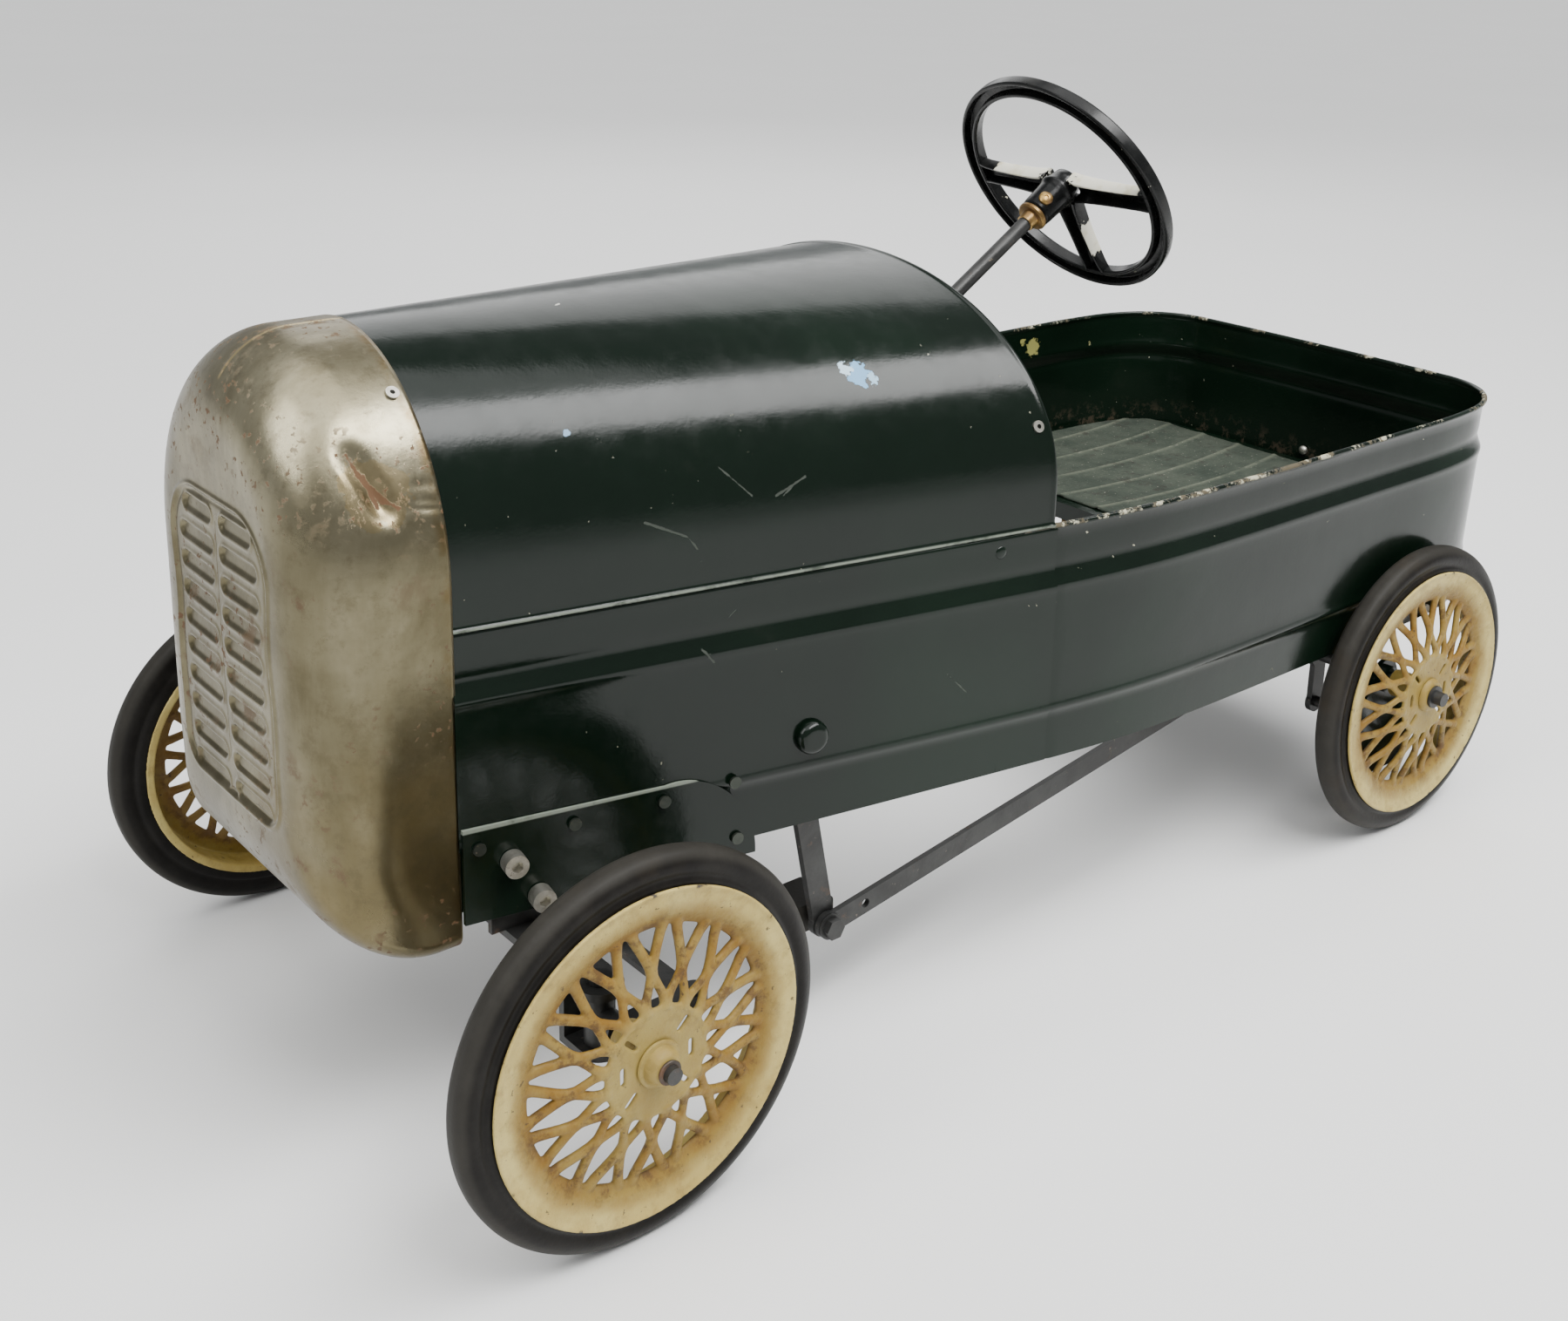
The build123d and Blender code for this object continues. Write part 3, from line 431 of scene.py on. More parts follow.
def bare_steel(name):
    """Bare pressed steel: olive-brown patina, rust freckles, a brazed seam and stained dents."""
    p = Paint(name)
    cloud = p.noise(7.0, 7.0, 0.62, warp=0.4)
    drawn = p.noise(26.0, 6.0, 0.65, where=p.mapped((0.5, 1.0, 0.22)))
    p.color = p.mix(p.step(cloud, 0.36, 0.66), (0.115, 0.097, 0.052), (0.260, 0.232, 0.150))
    p.tint(p.step(drawn, 0.42, 0.7, 0.0, 0.60), (0.400, 0.365, 0.255))
    ochre = p.clouds((4.6, 6.0, 0.6), 0.48, 0.72, 0.0, 0.6)
    p.tint(ochre, (0.165, 0.115, 0.036))
    mottle = p.clouds((70.0, 8.0, 0.75), 0.48, 0.66, 0.0, 0.4)
    p.tint(mottle, (0.105, 0.085, 0.050))
    freckle = p.clouds((190.0, 3.0, 0.55), 0.60, 0.66)
    freckle = p.times(freckle, p.clouds((11.0, 3.0), 0.44, 0.60))
    patch = p.times(p.clouds((34.0, 8.0, 0.72), 0.55, 0.64), p.clouds((6.0, 2.0), 0.44, 0.60))
    rust = p.most(p.times(freckle, 0.85), p.times(patch, 0.55))
    dent = p.near((0.473, 0.098, 0.418), 0.025, 0.026, 90.0)
    crack = p.clouds((120.0, 7.0, 0.75), 0.56, 0.63, where=p.mapped((1.0, 1.0, 0.45)))
    rust = p.most(rust, p.times(dent, crack))
    crease = 0.0
    bends = ((0.4804, 0.0870, 0.4339), (0.4767, 0.0916, 0.4234), (0.4717, 0.0949, 0.4160),
             (0.4665, 0.0998, 0.4091), (0.4609, 0.1053, 0.4055))
    folds = [*zip(bends, bends[1:], (0.0012, 0.0018, 0.0021, 0.0014)),
             ((0.4736, 0.0923, 0.4220), (0.4702, 0.0998, 0.4059), 0.0015)]
    for start, end, width in folds:
        crease = p.most(crease, p.streak(start, end, width, 0.0060))
    p.tint(p.times(p.near((0.470, 0.098, 0.414), 0.019, 0.030, 60.0), 0.35), (0.36, 0.25, 0.09))
    rust = p.most(rust, p.times(crease, 0.95))
    y = p.math("ABSOLUTE", p.axis("Y"))
    height = p.axis("Z")
    seam = p.times(p.step(y, 0.0016, 0.0008), p.step(height, 0.4600, 0.4625))
    p.tint(p.times(seam, 0.8), (0.56, 0.44, 0.22))
    beside = p.times(p.step(y, 0.0075, 0.0020), p.step(height, 0.4520, 0.4600))
    rust = p.most(rust, p.times(beside, p.clouds((85.0, 6.0, 0.7), 0.50, 0.60, 0.0, 0.8)))
    lip = p.times(p.step(p.axis("X"), 0.4450, 0.4385),
                  p.clouds((50.0, 6.0, 0.7), 0.42, 0.60, 0.1, 0.75))
    p.tint(lip, (0.155, 0.100, 0.036))
    lower = p.times(p.step(height, 0.445, 0.370), p.clouds((8.0, 5.0, 0.6), 0.25, 0.60, 0.22, 0.62))
    p.tint(lower, (0.062, 0.052, 0.025))
    p.tint(rust, (0.095, 0.042, 0.014))
    rough = p.blend(rust, p.step(cloud, 0.3, 0.7, 0.36, 0.27), 0.8)
    metal = p.blend(rust, 0.92, 0.1)
    fine = p.bump(p.noise(240.0, 5.0, 0.7), 0.16, 0.0006)
    hammered = p.bump(p.noise(24.0, 3.0, 0.5), 0.30, 0.0020, below=fine)
    normal = p.bump(rust, 0.3, 0.0003, below=hammered)
    return p.set(rough=rough, metal=metal, normal=normal)


def cream_enamel(name, seed):
    """Aged cream enamel on a wheel: ochre stain towards the spokes, rust in specks and runs."""
    p = Paint(name)
    p.grain = p.mapped(shift=(seed, seed * 0.7, -seed))
    radius = p.radius()
    spokes = p.times(p.step(radius, 0.031, 0.040), p.step(radius, 0.086, 0.077))
    ring = p.times(p.step(radius, 0.074, 0.079), p.step(radius, 0.092, 0.083))
    stain = p.step(p.noise(30.0, 8.0, 0.72, warp=0.3), 0.36, 0.66)
    amount = p.times(stain, p.math("ADD", 0.30, p.times(spokes, 0.70)))
    p.color = p.mix(p.clouds((9.0, 4.0), 0.35, 0.65), (0.54, 0.440, 0.160), (0.42, 0.315, 0.090))
    p.tint(p.times(ring, p.clouds((48.0, 7.0, 0.7), 0.35, 0.6, 0.30, 0.95)), (0.25, 0.150, 0.030))
    inner = p.step(radius, 0.0935, 0.0810, 0.0, 0.80)
    p.tint(inner, (0.250, 0.178, 0.042))
    p.tint(p.times(spokes, 0.55), (0.215, 0.130, 0.020))
    p.tint(amount, (0.185, 0.095, 0.011))
    dark = p.clouds((80.0, 7.0, 0.72), 0.50, 0.63)
    dark = p.times(dark, p.math("ADD", 0.22, p.times(spokes, 0.58)))
    p.tint(dark, (0.075, 0.038, 0.012))
    # painted shade: the spokes darken where they lie deep behind the wheel's face, down in the dish
    face = p.axis("X")
    shade = p.times(spokes, p.step(face, -0.0035, -0.0085))
    p.tint(p.times(shade, 0.5), (0.11, 0.060, 0.022))
    speck = p.clouds((230.0, 3.0), 0.67, 0.71)
    p.tint(p.times(speck, 0.8), (0.06, 0.038, 0.020))
    edge = p.times(p.step(radius, 0.0972, 0.0990), p.clouds((60.0, 5.0), 0.60, 0.66))
    p.tint(edge, (0.055, 0.045, 0.035))
    rough = p.blend(amount, p.clouds((40.0, 4.0), 0.3, 0.7, 0.30, 0.46), 0.6)
    lumps = p.bump(p.noise(135.0, 7.0, 0.72), 0.62, 0.0014)
    normal = p.bump(p.math("ADD", speck, dark), 0.35, 0.0004, below=lumps)
    return p.set(rough=rough, metal=0.0, normal=normal, spec=0.25)


def rubber(name, seed):
    """Solid rubber: black walls, a dusty grey tread, dull scuffs and small cuts."""
    p = Paint(name)
    p.grain = p.mapped(shift=(seed, -seed, seed * 0.4))
    radius = p.radius()
    tread = p.step(radius, 0.1105, 0.1150)
    dust = p.clouds((30.0, 8.0, 0.7), 0.36, 0.72)
    amount = p.math("ADD", p.times(tread, 0.26), p.times(dust, 0.12))
    p.color = p.mix(amount, (0.0060, 0.0052, 0.0045), (0.070, 0.066, 0.056))
    brown = p.clouds((13.0, 5.0, 0.6), 0.56, 0.74, 0.0, 0.35)
    p.tint(brown, (0.036, 0.026, 0.016))
    cuts = p.step(p.cells(95.0), 0.045, 0.02)
    cuts = p.times(cuts, p.clouds((20.0, 2.0), 0.55, 0.65))
    p.tint(p.times(cuts, 0.7), (0.17, 0.16, 0.145))
    rough = p.blend(amount, 0.36, 0.86)
    fine = p.bump(p.noise(300.0, 4.0, 0.7), 0.25, 0.0006)
    normal = p.bump(dust, 0.12, 0.0008, below=fine)
    return p.set(rough=rough, metal=0.0, normal=normal, spec=0.11)


def dark_metal(name, rusty=0.45, tone=(0.034, 0.034, 0.033), gloss=0.38):
    """Dark worn steel with brown rust blooms and paler flecks."""
    p = Paint(name)
    cloud = p.noise(28.0, 7.0, 0.68, warp=0.3)
    p.color = p.mix(p.step(cloud, 0.35, 0.7), tone, tuple(c * 1.9 for c in tone))
    rust = p.clouds((48.0, 8.0, 0.72), 0.66 - 0.16 * rusty, 0.80 - 0.16 * rusty)
    fleck = p.clouds((260.0, 3.0), 0.68, 0.73)
    p.tint(p.times(rust, 0.9), (0.105, 0.052, 0.026))
    p.tint(p.times(fleck, 0.5), (0.24, 0.20, 0.155))
    rough = p.blend(rust, p.step(cloud, 0.3, 0.7, gloss, gloss + 0.14), 0.82)
    metal = p.blend(rust, 0.75, 0.05)
    fine = p.bump(p.noise(220.0, 5.0, 0.7), 0.25, 0.0006)
    normal = p.bump(rust, 0.3, 0.0005, below=fine)
    return p.set(rough=rough, metal=metal, normal=normal)


def black_over_cream(name, bare=None):
    """Black enamel chipped to cream undercoat; bare is an axis, its level and a range along Z."""
    p = Paint(name)
    tone = p.clouds((20.0, 4.0), 0.4, 0.7)
    p.color = p.mix(tone, (0.0035, 0.0038, 0.0038), (0.009, 0.0095, 0.009))
    chip = p.clouds((85.0, 4.0, 0.6), 0.70, 0.712)
    chip = p.times(chip, p.clouds((12.0, 2.0), 0.44, 0.54))
    rough = p.clouds((70.0, 4.0), 0.3, 0.7, 0.18, 0.32)
    if bare is not None:
        axis, level, low, high = bare
        ragged = p.math("MULTIPLY_ADD", p.noise(70.0, 6.0, 0.7), 0.05, -0.025)
        side = p.times(p.axis(axis), math.copysign(1.0, level))
        side = p.step(side, abs(level) - 0.0004, abs(level))
        reach = p.math("ADD", p.axis("Z"), ragged)
        worn = p.times(p.step(reach, low, low + 0.0012), p.step(reach, high, high - 0.0012))
        chip = p.most(chip, p.times(side, worn))
    dust = p.clouds((45.0, 7.0, 0.7), 0.5, 0.8, 0.0, 0.2)
    p.tint(dust, (0.05, 0.047, 0.038))
    cream = p.mix(p.clouds((50.0, 4.0), 0.45, 0.65), (0.70, 0.68, 0.57), (0.56, 0.52, 0.36))
    p.tint(chip, cream)
    rough = p.blend(chip, p.math("ADD", rough, p.times(dust, 0.8)), 0.5)
    fine = p.bump(p.noise(200.0, 3.0), 0.1, 0.0005)
    normal = p.bump(p.math("SUBTRACT", 1.0, chip), 0.5, 0.0003, below=fine)
    return p.set(rough=rough, metal=0.0, normal=normal, spec=0.25)


def brass(name):
    """Tarnished brass with brown stains."""
    p = Paint(name)
    cloud = p.noise(60.0, 6.0, 0.65)
    p.color = p.mix(p.step(cloud, 0.4, 0.65), (0.42, 0.27, 0.09), (0.20, 0.12, 0.05))
    rust = p.clouds((110.0, 6.0, 0.7), 0.56, 0.66)
    p.tint(rust, (0.13, 0.065, 0.028))
    normal = p.bump(p.noise(240.0, 4.0), 0.25, 0.0005)
    return p.set(rough=p.blend(rust, 0.34, 0.75), metal=p.blend(rust, 0.9, 0.2), normal=normal)


def zinc(name, holes=(), dull=0.0):
    """Bright plated steel with stains; holes get near-black discs of painted shade for their
    hollows, dull dirties the whole face.
    """
    p = Paint(name)
    cloud = p.noise(90.0, 6.0, 0.65)
    p.color = p.mix(p.step(cloud, 0.4, 0.68), (0.64, 0.62, 0.55), (0.42, 0.40, 0.34))
    stain = p.clouds((140.0, 6.0, 0.7), 0.6, 0.7)
    p.tint(stain, (0.12, 0.08, 0.05))
    p.tint(dull, (0.10, 0.10, 0.08))
    # painted shade: a near-black disc at each rivet hole stands for the shade inside it
    for centre in holes:
        p.tint(p.near(centre, 0.0015, 0.0008), (0.012, 0.012, 0.010))
    normal = p.bump(p.noise(320.0, 4.0), 0.2, 0.0004)
    return p.set(rough=p.blend(stain, 0.36, 0.7), metal=p.blend(stain, 0.95, 0.3), normal=normal)


def mat_cloth(name):
    """Dusty grey-green seat matting, paler along the ribs."""
    p = Paint(name)
    z = p.axis("Z")
    crest = p.step(z, 0.2262, 0.2270)
    dust = p.noise(26.0, 8.0, 0.72)
    p.color = p.mix(p.step(dust, 0.3, 0.72), (0.024, 0.032, 0.024), (0.052, 0.061, 0.046))
    p.tint(p.times(crest, p.clouds((60.0, 5.0, 0.7), 0.3, 0.62, 0.15, 0.8)), (0.110, 0.120, 0.088))
    dirt = p.clouds((60.0, 8.0, 0.75), 0.52, 0.66, 0.0, 0.65)
    p.tint(dirt, (0.022, 0.020, 0.016))
    grit = p.clouds((420.0, 3.0), 0.66, 0.70, 0.0, 0.6)
    p.tint(grit, (0.30, 0.29, 0.24))
    normal = p.bump(p.noise(380.0, 5.0, 0.75), 0.5, 0.0009)
    return p.set(rough=0.9, metal=0.0, normal=normal, spec=0.2)


# bonnet enamel; its edge line is a painted highlight along the rolled lower edge of the bonnet,
# broken up like wear
body_green = green_enamel("body_green", marks=[
    ((0.1579, 0.1288, 0.4368), 0.0085, 0.020, (0.17, 0.36, 0.56)),
    ((0.1648, 0.1245, 0.4396), 0.0050, 0.014, (0.45, 0.60, 0.70)),
    ((0.1511, 0.1334, 0.4334), 0.0042, 0.012, (0.30, 0.47, 0.60)),
    ((0.3084, 0.0252, 0.4790), 0.0026, 0.006, (0.52, 0.52, 0.46)),
    ((0.3559, 0.1066, 0.4290), 0.0020, 0.006, (0.20, 0.32, 0.44)),
], edge=(0.3322, 0.3312), scratches=[
    ((0.2712, 0.1366, 0.4006), (0.2535, 0.1457, 0.3820), 0.0006),
    ((0.3218, 0.1341, 0.3763), (0.2960, 0.1400, 0.3640), 0.0010),
    ((0.2960, 0.1400, 0.3640), (0.2897, 0.1417, 0.3557), 0.0007),
    ((0.2379, 0.1491, 0.3798), (0.2174, 0.1508, 0.3882), 0.0008),
    ((0.2360, 0.1493, 0.3770), (0.2240, 0.1505, 0.3860), 0.0005),
    ((0.3000, 0.1410, 0.3440), (0.2860, 0.1430, 0.3480), 0.0005),
])
side_green = green_enamel("side_green", scratches=[
    ((0.2807, 0.1467, 0.2841), (0.2900, 0.1450, 0.2960), 0.0008),
    ((0.2647, 0.1465, 0.3133), (0.2780, 0.1450, 0.3020), 0.0008),
    ((0.2840, 0.1460, 0.2900), (0.2740, 0.1470, 0.2880), 0.0006),
    ((0.1023, 0.1814, 0.2280), (0.1180, 0.1790, 0.2440), 0.0006),
])
# front plate enamel; its edge line is a painted highlight along the top edge of the plates, broken
# up like wear
plate_green = green_enamel("plate_green", edge=(0.2092, 0.2102))
tub_green = green_enamel("tub_green", rim=True, marks=[
    ((-0.3556, -0.2025, 0.3113), 0.0085, 0.018, (0.26, 0.25, 0.075)),
    ((-0.3420, -0.2030, 0.3180), 0.0045, 0.012, (0.26, 0.25, 0.075)),
    ((-0.4300, -0.1990, 0.3040), 0.0030, 0.008, (0.24, 0.23, 0.10)),
])
steel = bare_steel("nose_steel")
dark_steel = dark_metal("dark_steel")
screw_steel = dark_metal("screw_steel", rusty=0.3, tone=(0.030, 0.034, 0.028), gloss=0.26)
brown_steel = dark_metal("brown_steel", rusty=1.3, tone=(0.06, 0.05, 0.042), gloss=0.5)
wheel_black = black_over_cream("wheel_black")
spoke_black = black_over_cream("spoke_black", ("Y", 0.0072, 0.010, 0.079))
mirror_black = black_over_cream("mirror_black", ("Y", -0.0072, 0.010, 0.070))
lower_black = black_over_cream("lower_black", ("Y", 0.0072, 0.034, 0.064))
brass_metal = brass("brass_metal")
zinc_metal = zinc("zinc_metal")
pop_rivet = zinc("pop_rivet", dull=0.35, holes=[
    (x, side * y, z) for x, y, z in ((0.4440, 0.0721, 0.4591), (0.0470, 0.1795, 0.3967))
    for side in (1.0, -1.0)])
seat_matting = mat_cloth("seat_matting")
pedal_black = rubber("pedal_black", 0.35)

# ---- body sheets ----

LEAN = TAIL_RAKE / (TUB_TOP - TUB_BOTTOM)
side_left = clamped_spline([(62.0, 187.4), (-56.0, 203.0), (-130.0, 205.5), (-224.0, 205.5),
                            (-340.0, 204.5), (-440.0, 200.0)], (-1.0, 0.16), (-1.0, -0.14), 90)
corner_left = clamped_spline([(-440.0, 200.0), (TAIL_X + 23.0, 177.0), (TAIL_X, 128.0)],
                             (-1.0, -0.14), (0.0, -1.0), 34)
tail_half = np.array([(TAIL_X - 3.0 * (1.0 - (y / 128.0) ** 2), y)
                      for y in np.linspace(128.0, 0.0, 22)])
left_half = np.vstack([side_left, corner_left[1:], tail_half[1:]])
tub_path = np.vstack([left_half, (left_half[:-1] * (1.0, -1.0))[::-1]])
tub_normals = -path_normals(tub_path)
tub_normals[:, :] *= np.sign(np.sum(tub_normals * (tub_path - (-200.0, 0.0)), axis=1))[:, None]


def wall_profile(shift, top_kind):
    """Closed section of a body side: lower lip, lower bead, panel, rounded step and upper band."""
    outer = []
    for z in np.r_[np.linspace(TUB_BOTTOM, 190.0, 5), np.linspace(191.0, 207.0, 17),
                   np.linspace(212.0, 282.0, 8), np.linspace(285.0, 305.0, 27),
                   np.linspace(308.0, 325.0, 4)]:
        lower = -1.5 * (1.0 - smoothstep(194.0, 203.5, z))
        bead = 1.0 * math.exp(-((z - 203.0) / 3.4) ** 2)
        shoulder = 0.9 * math.exp(-((z - 289.0) / 4.0) ** 2)
        upper = -3.0 * smoothstep(289.0, 300.5, z) - 0.5 * math.exp(-((z - 302.0) / 3.2) ** 2)
        outer.append((shift + lower + bead + shoulder + upper, float(z)))
    inner = [(g - SHEET, z) for g, z in reversed(outer)]
    if top_kind == "rolled":
        turn = [(shift - 2.5 + 2.1 * math.cos(a), 329.8 + 2.1 * math.sin(a))
                for a in np.linspace(-0.5, 4.0, 14)]
    else:
        turn = [(shift - 2.7, 327.2), (shift - 2.9, 328.6), (shift - 3.7, 329.5),
                (shift - 5.4, 329.6), (shift - 5.4, 328.4), (shift - 4.3, 328.0)]
    return outer + turn + inner


tub = sweep_sheet("tub_sheet", tub_path, tub_normals, wall_profile(0.0, "rolled"), tub_green, LEAN)
for vertex in tub.data.vertices:
    tuck = 0.9 * min(max((vertex.co.x / MM - 33.5) / 2.5, 0.0), 1.0)
    vertex.co.y -= math.copysign(tuck * MM, vertex.co.y)
finish_piece(tub, "body", "green_paint", "rear_tub")

PANEL_LINE = [(NOSE_JOINT_X, 115.0), (215.0, 158.0), (60.0, 188.0), (PANEL_REAR_X, 192.3)]
RIVET_OUTLINE = [(-4.0, 0.0), (-4.0, 2.0), (-0.3, 2.0), (-0.3, 4.5), (0.6, 4.2), (1.1, 3.4),
                 (1.5, 2.0), (1.6, 0.0)]
for side, hand in ((1.0, "left"), (-1.0, "right")):
    line = clamped_spline(PANEL_LINE, (-1.0, 0.19), (-1.0, 0.175), 80) * (1.0, side)
    normals = path_normals(line)
    normals *= np.sign(normals[:, 1] * side)[:, None]
    profile = [(g, z if z > 175.0 else PANEL_FOOT + (z - TUB_BOTTOM) * 1.6)
               for g, z in wall_profile(1.3, "flange")]
    panel = sweep_sheet(f"side_sheet_{hand}", line, normals, profile, side_green)
    # the lower edge rises towards the rear, where it meets the tub's
    for vertex in panel.data.vertices:
        rise = 6.0 * (NOSE_JOINT_X - vertex.co.x / MM) / (NOSE_JOINT_X - PANEL_REAR_X)
        vertex.co.z += rise * MM * min(max((0.190 - vertex.co.z) / 0.031, 0.0), 1.0)
    finish_piece(panel, "body", "green_paint", f"side_panel_{hand}")
    beside = [abs(v.co.y) for v in panel.data.vertices
              if abs(v.co.x / MM - SEAM_RIVET_X) < 4.0 and abs(v.co.z / MM - SEAM_RIVET_Z) < 3.0]
    seat = Vector((SEAM_RIVET_X * MM, side * np.mean(sorted(beside)[-6:]), SEAM_RIVET_Z * MM))
    rivet = lathe(f"seam_rivet_{hand}", RIVET_OUTLINE, side_green, 40, closed=False)
    rivet.matrix_world = Matrix.Translation(seat) @ facing_x((0.19, 0.98 * side, 0.0))
    finish_piece(rivet, "body", "green_paint", *(["seam_rivets"] if side > 0 else []))


def arch_points(half, spring, top):
    """Points over an arched section from its lower right edge to its lower left edge."""
    heights = np.r_[np.linspace(BONNET_BOTTOM, BONNET_BOTTOM + 5.0, 11),
                    np.linspace(BONNET_BOTTOM + 8.0, spring, 4)[:-1]]
    out = [(-half, z) for z in heights]
    for a in np.linspace(math.pi, 0.0, 90):
        c, s = math.cos(a), math.sin(a)
        out.append((half * math.copysign(abs(c) ** (2.0 / ARCH_POWER), c),
                    spring + (top - spring) * abs(s) ** (2.0 / ARCH_POWER)))
    out += [(half, z) for z in heights[::-1]]
    return out


def edge_bead(z):
    """Outward swell of the rolled edge along the bottom of the bonnet."""
    return 1.5 * math.exp(-((z - 331.0) / 1.3) ** 2)


stations = np.r_[np.linspace(BONNET_FRONT_X, 44.0, 60), np.linspace(43.0, BONNET_REAR_X, 8)]
outer_grid, inner_grid = [], []
for x in stations:
    t = (BONNET_FRONT_X - x) / (BONNET_FRONT_X - BONNET_REAR_X)
    half, spring, top = 112.0 + 77.5 * t, 357.0 - t, 483.6 - 1.6 * t
    lip = 0.9 * math.exp(-((x - 39.8) / 1.6) ** 2)
    for y, z in arch_points(half + lip, spring, top + lip):
        outer_grid.append((x, y + math.copysign(edge_bead(z), y), z))
    for y, z in arch_points(half - SHEET, spring, top - SHEET):
        inner_grid.append((x, y, z))
width = len(outer_grid) // len(stations)
rows = len(stations)
bonnet_faces = grid_faces(rows, width) + grid_faces(rows, width, start=len(outer_grid))
for j in range(width - 1):
    for row in (0, rows - 1):
        a = row * width + j
        bonnet_faces.append((a, a + 1, len(outer_grid) + a + 1, len(outer_grid) + a))
for i in range(rows - 1):
    for col in (0, width - 1):
        a, b = i * width + col, (i + 1) * width + col
        bonnet_faces.append((a, b, len(outer_grid) + b, len(outer_grid) + a))
bonnet = make_object("bonnet_sheet", outer_grid + inner_grid, bonnet_faces, body_green, sharp=60)
finish_piece(bonnet, "body", "green_paint", "bonnet")

# ---- nose ----

NOSE_TOP, NOSE_LOW, NOSE_SPRING, NOSE_HALF = 485.0, 134.0, 357.0, 115.4


def nose_outline(inset, low_inset, count):
    """Closed section of the nose, a distance inside its outline at the joint with the bonnet."""
    half, top, bottom = NOSE_HALF - inset, NOSE_TOP - inset, NOSE_LOW + low_inset
    corner = 11.0 + 0.14 * inset
    pts = [(-half, z) for z in np.linspace(bottom + corner, NOSE_SPRING, 160)]
    pts += [(half * math.cos(a), NOSE_SPRING + (top - NOSE_SPRING) * math.sin(a))
            for a in np.linspace(math.pi, 0.0, 260)]
    pts += [(half, z) for z in np.linspace(NOSE_SPRING, bottom + corner, 160)]
    pts += [(half - corner + corner * math.cos(a), bottom + corner + corner * math.sin(a))
            for a in np.linspace(0.0, -math.pi / 2, 40)]
    pts += [(y, bottom) for y in np.linspace(half - corner, -half + corner, 120)]
    pts += [(-half + corner + corner * math.cos(a), bottom + corner + corner * math.sin(a))
            for a in np.linspace(-math.pi / 2, -math.pi, 40)]
    loop = np.vstack([np.array(pts), np.array(pts[:1])])
    step = np.r_[0.0, np.cumsum(np.linalg.norm(np.diff(loop, axis=0), axis=1))]
    where = np.linspace(0.0, step[-1], count, endpoint=False)
    return np.stack([np.interp(where, step, loop[:, k]) for k in (0, 1)], axis=1)


def grille_distance(y, z):
    """Signed distance to the grille panel's outline, negative inside."""
    half = 65.5 - 3.2 * np.exp(-((z - 322.0) / 26.0) ** 2) - 1.5 * smoothstep(300.0, 215.0, z)
    middle, tall = 302.5, 92.5
    corner = np.where(z > middle, 38.0, 20.0)
    dy, dz = np.abs(y) - (half - corner), np.abs(z - middle) - (tall - corner)
    outside = np.hypot(np.maximum(dy, 0.0), np.maximum(dz, 0.0))
    return outside + np.minimum(np.maximum(dy, dz), 0.0) - corner


def nose_relief(x, y, z):
    """Outward displacement of the nose front: beaded grille panel and pressed louvres."""
    front = smoothstep(496.0, 511.0, x)
    edge = grille_distance(y, z)
    relief = 1.25 * np.exp(-((edge + 1.0) / 1.5) ** 2) - 0.8 * np.exp(-((edge + 4.6) / 1.6) ** 2)
    relief -= 0.5 * smoothstep(0.0, -3.0, edge)
    for row in range(10):
        z0 = 381.0 - 18.0 * row
        reach = 19.5 if row == 0 else 23.0
        for side in (-1.0, 1.0):
            middle = side * 28.0 - (2.5 * side if row == 0 else 0.0)
            dy = np.abs(y - middle) - (reach - 4.6)
            dz = z - z0
            slot = np.hypot(np.maximum(dy, 0.0), dz) - 4.6
            slope = 0.72 + 0.28 * np.clip(dz / 4.6, -1.0, 1.0)
            relief -= 2.6 * slope * smoothstep(0.9, -1.9, slot)
            relief += 0.55 * np.exp(-((slot - 1.5) / 1.1) ** 2)
    return relief * front


AROUND = 680
NOSE_SETBACK = 1.2
LOW_ROUND = 70.0
base_loop = nose_outline(0.0, 0.0, AROUND)
roundness = 50.0 + (LOW_ROUND - 50.0) * smoothstep(200.0, 140.0, base_loop[:, 1])
nose_points = []
for k in range(14):
    reach = (NOSE_FRONT_X - roundness - 437.3) * k / 14.0
    nose_points.append(np.column_stack([437.3 + reach, base_loop]))
for a in np.linspace(0.0, math.pi / 2, 60):
    loop = nose_outline(50.0 * (1.0 - math.cos(a)), LOW_ROUND * (1.0 - math.cos(a)), AROUND)
    nose_points.append(np.column_stack([NOSE_FRONT_X - roundness * (1.0 - math.sin(a)), loop]))
last = nose_points[-1][:, 1:]
spine = np.column_stack([np.zeros(AROUND), np.clip(last[:, 1], 236.0, 380.0)])
for k in range(1, 71):
    shrunk = last + (spine - last) * (k / 70.0)
    nose_points.append(np.column_stack([np.full(AROUND, NOSE_FRONT_X), shrunk]))
nose_points = np.vstack(nose_points)
front_share = smoothstep(495.0, 519.0, nose_points[:, 0])
bow = smoothstep(75.0, 0.0, np.abs(nose_points[:, 1])) * front_share
bow *= smoothstep(200.0, 300.0, nose_points[:, 2])
bow *= smoothstep(425.0, 330.0, nose_points[:, 2])
nose_points[:, 0] += bow - NOSE_SETBACK
nose_points[:, 0] += nose_relief(nose_points[:, 0], nose_points[:, 1], nose_points[:, 2])
seam_share = np.exp(-(nose_points[:, 1] / 1.1) ** 2) * smoothstep(462.0, 466.0, nose_points[:, 2])
nose_points[:, 2] += 0.7 * seam_share * smoothstep(436.0, 445.0, nose_points[:, 0])


def push_in(centre, along, reach, across, depth, direction):
    """Press the nose skin in round a point, over an oval of half lengths reach and across."""
    gap = nose_points - np.array(centre)
    along = np.array(along) / np.linalg.norm(along)
    lengthwise = gap @ along
    sideways = np.sqrt(np.maximum(np.sum(gap**2, axis=1) - lengthwise**2, 0.0))
    share = np.exp(-np.abs(lengthwise / reach) ** 2.6 - np.abs(sideways / across) ** 1.7)
    nose_points[:] += np.array(direction) * (depth * share)[:, None]


